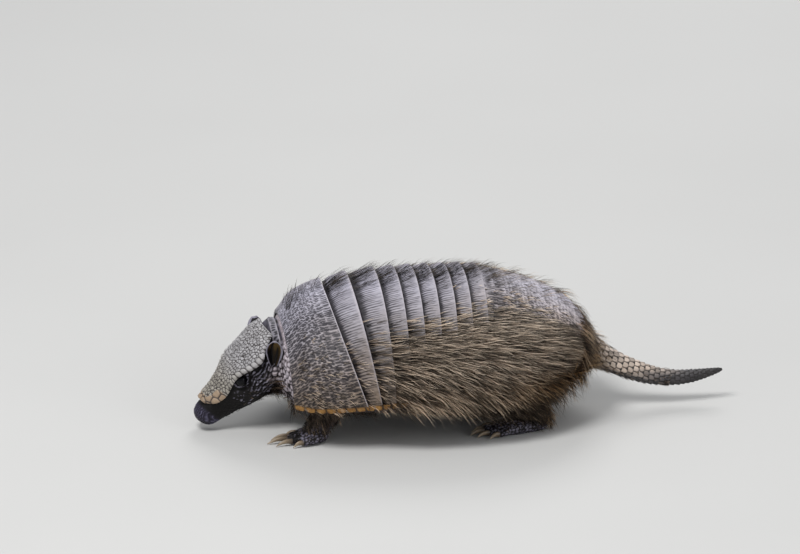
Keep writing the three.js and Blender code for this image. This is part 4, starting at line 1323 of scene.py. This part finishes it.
def skin_coat(name, rng, roots, normals, place, lie, length, stand, fall, width, dark, gold, size=3):
    """Tufts on the skin that lie along the directions `lie` gives, and droop by `fall`."""
    def each(values):
        return np.repeat(np.broadcast_to(values, len(roots)), size)

    count = len(roots) * size
    tone = each(rng.uniform(0, 1, len(roots)))
    root = np.repeat(roots, size, axis=0) + rng.normal(0, 0.5, (count, 3))
    normal = np.repeat(normals, size, axis=0)
    way = np.repeat(np.broadcast_to(lie(roots), roots.shape), size, axis=0)
    way = way + rng.normal(0, 0.16, (count, 3))
    way = unit(way - normal * np.sum(way * normal, axis=1, keepdims=True))
    reach = (each(length(roots)) * rng.uniform(0.6, 1.2, count))[:, None, None]
    rise = (each(stand(roots)) * rng.uniform(0.5, 1.4, count))[:, None, None]
    t = np.linspace(0, 1, POINTS)[None, :, None]
    paths = (root[:, None] - 0.5 * normal[:, None] + way[:, None] * reach * t
             + normal[:, None] * (0.5 + reach * rise * np.sin(1.9 * t)) - UP * fall * reach * t**2)
    widths = width * rng.uniform(0.6, 1.3, count)
    place = np.repeat(np.clip(place(roots), 0, 1), size, axis=0)
    coat(name, paths, widths, tone, dark(root, rng), np.broadcast_to(gold(root), count), place)


def flank_coat():
    """Long tan bristles over the lower half of the shell, thicker towards the rump."""
    def density(x, h):
        sparse = 0.10 * ease(0.1, 0.4, h) * ease(-60, 0, x)
        shoulder = 0.26 * ease(0.35, 0.7, h)
        return np.clip(furry(x, h) + sparse + shoulder, 0, 1)

    def dark(x, h, rng):
        rump = 0.5 * ease(20, 70, x) * ease(0.72, 0.92, h)
        return (rng.uniform(size=len(x)) < 0.28 - 0.16 * h + rump) * 0.9

    def length(x, h):
        return 8 + 20 * ease(-90, -45, x) * ease(0.25, 0.55, h) - 6 * ease(80, 95, x)

    count, width = COATS["flank"]
    for side, name in ((-1, "left"), (1, "right")):
        rng = np.random.default_rng(101 + side)
        x, u = spread(rng, count, density)
        u = np.minimum(u, 1 - u)
        shell_coat(
            f"coat-flank-{name}", rng, x, u if side < 0 else 1 - u, 2 * u, width, length,
            stand=lambda x, h: 2.6 + 2.4 * ease(0.3, 0.7, h) * ease(-90, -50, x),
            droop=lambda x, h: 1 + 36 * ease(0.5, 1.0, h) + 16 * ease(60, 92, x) * h,
            dark=dark,
            gold=lambda x, h: (0.85 * ease(66, 92, x)
                               + (0.2 + 0.6 * ease(0, 60, x)) * ease(0.75, 1, h)),
        )


def back_coat():
    """Dark bristles that rise from the hinges of the bands over the back, tan over the rump."""
    rng = np.random.default_rng(7)
    (count, width), on_shoulder = COATS["back"], 80
    hinges = [band_edge(i) + 1 for i in range(BANDS + 1)]
    rows = np.concatenate([hinges, hinges, np.linspace(17, 90, 7)])
    x = rng.choice(rows, count) + rng.normal(0, 1.1, count)
    x[:on_shoulder] = rng.uniform(-139, -92, on_shoulder)
    u = np.clip(rng.normal(0.5, 0.036 + 0.05 * ease(0, 40, x), count), 0.1, 0.9)

    def length(x, h):
        return (9 + 6 * ease(-130, -80, x) + 3 * ease(20, 60, x)) * (1 - 0.5 * h)

    def dark(x, h, rng):
        return np.clip(1 - (0.10 + 0.80 * ease(-10, 50, x)) * rng.uniform(0.2, 1, len(x)), 0, 1)

    bristles = shell_coat(
        "coat-back", rng, np.clip(x, SHELL_FRONT + 2, SHELL_REAR - 2), u, u, width, length,
        stand=lambda x, h: 7.4 - 5.4 * ease(0.10, 0.34, h), droop=lambda x, h: 12 * h,
        dark=dark, gold=lambda x, h: 0.5 * ease(30, 80, x),
    )
    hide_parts("back_bristles")


def round_body(points):
    """A place on the map for a point of the trunk's skin: along it, and round it."""
    turn = np.arctan2(points[:, 1], points[:, 2] - 45)
    return np.stack([(points[:, 0] + 150) / 260, turn / (2 * math.pi) + 0.5], -1)


def under_coat(points, faces):
    """Hair below the shell: a long skirt over the legs, the belly, and the golden rump."""
    def density(at, n):
        x, y, z = at.T
        rump = (x > 86) * (np.hypot(y, z - 54) > 11) * (n[:, 0] > 0.1)
        low = np.maximum((z < 52) * (z > 11) * (np.abs(y) > 8), 2.5 * rump)
        behind = (0.02 + ease(-70, 10, x)) * (x < 104) * (x > -134)
        return low * behind * np.clip(np.abs(n[:, 1]) + n[:, 0] * 0.6, 0.03, 1) * (n[:, 2] < 0.7)

    def length(at):
        x, _, z = at.T
        full = 15 + 15 * ease(18, 45, z) * ease(95, 80, x)
        return full * (0.45 + 0.55 * ease(-60, 0, x))

    # Most hairs under the front of the shell are black, fewer towards the rump: partly dark hair, partly
    # painted shade under the shell.
    def dark(at, rng):
        return np.where(rng.uniform(size=len(at)) < 0.88 - 0.60 * ease(30, 92, at[:, 0]), 0.97, 0.1)

    def gold(at):
        return 0.1 + 0.8 * ease(35, 75, at[:, 0]) * (0.45 + 0.55 * ease(62, 40, at[:, 2]))

    rng = np.random.default_rng(55)
    count, width = COATS["skirt"]
    for name, side in (("left", -1), ("right", 1)):
        there = lambda at, n: density(at, n) * (at[:, 1] * side > 0)
        roots, normals = skin_roots(rng, points, faces, count, there)
        skin_coat(
            f"coat-skirt-{name}", rng, roots, normals, round_body,
            lie=lambda at: (0.85, 0.1 * side, -0.55), length=length,
            stand=lambda at: 0.10 + 0.14 * ease(60, 95, at[:, 0]),
            fall=0.18, width=width, dark=dark, gold=gold,
        )


def leg_place(points):
    """A place on the map for a point of a leg: each leg has a quarter of the map."""
    front, right = points[:, 0] < -50, points[:, 1] > 0
    middle = np.where(front, np.where(right, -104, -128), np.where(right, 52, 36))
    turn = np.arctan2(points[:, 1] - np.where(right, 45, -45), points[:, 0] - middle)
    across = (turn / (2 * math.pi) + 0.5) / 2
    return np.stack([across + 0.5 * front, (points[:, 2] / 60 + right) / 2], -1)


def leg_coat(points, faces):
    """Short mixed hair over the legs, down to the feet."""
    def density(at, n):
        x, y, z = at.T
        leg = ((x < -80) | (x > 10)) & (np.abs(y) > 26) & (x < 75)
        return leg * ease(5, 12, z) * (z < 38) * (0.35 + (n[:, 2] > -0.4))

    rng = np.random.default_rng(77)
    count, width = COATS["legs"]
    roots, normals = skin_roots(rng, points, faces, count, density)
    skin_coat(
        "coat-legs", rng, roots, normals, leg_place,
        lie=lambda at: np.sign(at) * (0, 0.12, 0) + (0.35, 0, -0.9),
        length=lambda at: 4 + 9 * ease(8, 26, at[:, 2]), stand=lambda at: 0.16,
        fall=0.05, width=width,
        # Mostly black hair on the legs: partly dark hair, partly painted shade under the shell.
        dark=lambda at, rng: np.clip(rng.normal(0.68, 0.25, len(at)), 0, 1), gold=lambda at: 0.4,
    )


def head_place(points):
    ahead, out, up = to_head(points).T
    return np.stack([(ahead + 20) / 120, np.arctan2(out, up + 20) / (2 * math.pi) + 0.5], -1)


def face_coat(points, faces):
    """Sparse pale hairs on the cheeks, whiskers, and brown hair under the throat."""
    def density(at, n):
        ahead, _, up = to_head(at).T
        cheek = ease(2, 14, ahead) * ease(88, 70, ahead) * ease(-18, -30, up)
        throat = 3.0 * ease(50, 30, ahead) * ease(-30, -40, up)
        return cheek * (at[:, 0] < -148) * (0.12 + throat)

    rng = np.random.default_rng(99)
    count, width = COATS["face"]
    roots, normals = skin_roots(rng, points, faces, count, density)
    skin_coat(
        "coat-face", rng, roots, normals, head_place,
        lie=lambda at: HEAD_TURN @ (0.8, 0, -0.5),
        length=lambda at: 3 + 8 * ease(56, 30, to_head(at)[:, 0]),
        stand=lambda at: 0.3 + 0.25 * ease(50, 30, to_head(at)[:, 0]),
        fall=0.12, width=width,
        dark=lambda at, rng: (rng.uniform(size=len(at)) < 0.72) * 0.85,
        gold=lambda at: 0.4 * ease(45, 20, to_head(at)[:, 0]), size=2,
    )


def tail_coat():
    """Tan hair round the tail's root, thinning out along it."""
    rng = np.random.default_rng(33)
    count, width = COATS["tail"]
    near_root = rng.uniform(size=count) < 0.7
    along = np.where(near_root, rng.exponential(0.10, count), rng.uniform(0, 0.8, count))
    along = np.minimum(along, 0.62)
    turn = rng.normal(math.pi, 1.3, count)  # thicker below than above
    root = tail_point(along, turn)
    onward = unit(tail_point(along + 0.02, turn) - root)
    out = unit(root - tail_point(along, turn, -4))
    place = np.stack([along, np.mod(turn / (2 * math.pi), 1)], -1)
    skin_coat(
        "coat-tail", rng, root, out, lambda at: place, lie=lambda at: onward,
        length=lambda at: 4.5 + 11 * ease(0.30, 0.0, along),
        stand=lambda at: 0.05 + 0.16 * ease(0.2, 0.0, along),
        fall=0.03, width=width,
        dark=lambda at, rng: 0.7 * ease(130, 190, at[:, 0]), gold=lambda at: 0.3, size=2,
    )


# ---------- stage, in metres ----------

# The photograph's view: degrees round from the side and above the ground, through a long lens. The
# aim is the middle of the frame, to the right of the model's origin as seen from there, and above it.
VIEW = {"azimuth": -8, "elevation": 20, "distance": 6.0, "frame_width": 0.640, "aim": (-0.0472, 0.1088)}
SENSOR, FAR_CLIP = 36, 50
FLOOR_HALF = 30
SKY, SKY_STRENGTH = (0.92, 0.95, 1.0, 1), 0.38
LAMPS = [  # name, place, size and power
    ("key", (-0.8, -0.9, 2.1), 0.9, 40), ("fill", (1.6, -1.4, 0.9), 1.5, 11),
    ("back", (0.4, 1.6, 1.6), 1.2, 18),
]


def camera():
    azimuth, elevation = math.radians(VIEW["azimuth"]), math.radians(VIEW["elevation"])
    level = math.cos(elevation)
    back = Vector((math.sin(azimuth) * level, -math.cos(azimuth) * level, math.sin(elevation)))
    right = Vector((math.cos(azimuth), math.sin(azimuth), 0))
    across, above = VIEW["aim"]
    target = right * across + back.cross(right) * above
    data = bpy.data.cameras.new("camera")
    data.sensor_width = SENSOR
    data.lens = SENSOR * VIEW["distance"] / VIEW["frame_width"]
    data.clip_end = FAR_CLIP
    view = bpy.data.objects.new("camera", data)
    view.location = target + back * VIEW["distance"]
    view.rotation_euler = back.to_track_quat("Z", "Y").to_euler()
    bpy.context.scene.collection.objects.link(view)
    bpy.context.scene.camera = view


def lamp(name, place, size, power):
    data = bpy.data.lights.new(name, "AREA")
    data.shape, data.size, data.energy = "DISK", size, power
    light = bpy.data.objects.new(name, data)
    light.location = place
    light.rotation_euler = Vector(place).to_track_quat("Z", "Y").to_euler()
    bpy.context.scene.collection.objects.link(light)


def stage():
    """A pale floor, a soft sky and three lamps."""
    mesh = bpy.data.meshes.new("floor")
    corners = [(-FLOOR_HALF, -FLOOR_HALF, 0), (FLOOR_HALF, -FLOOR_HALF, 0), (FLOOR_HALF, FLOOR_HALF, 0),
               (-FLOOR_HALF, FLOOR_HALF, 0)]
    mesh.from_pydata(corners, [], [(0, 1, 2, 3)])
    mesh.materials.append(LOOKS["floor"])
    floor = bpy.data.objects.new("floor", mesh)
    bpy.context.scene.collection.objects.link(floor)
    world = bpy.data.worlds.new("world")
    world.use_nodes = True
    sky = world.node_tree.nodes["Background"]
    sky.inputs["Color"].default_value = SKY
    sky.inputs["Strength"].default_value = SKY_STRENGTH
    bpy.context.scene.world = world
    bpy.context.scene.view_settings.view_transform = "Standard"
    for settings in LAMPS:
        lamp(*settings)


camera()
stage()
shell()
nuchal_band()
head_shield()
skin_points, skin_faces = skin()
tail_scales()
for leg in LEGS:
    claws(leg)
eyeball(-1, "left")
eyeball(1, "right")
flank_coat()
back_coat()
under_coat(skin_points, skin_faces)
leg_coat(skin_points, skin_faces)
face_coat(skin_points, skin_faces)
tail_coat()
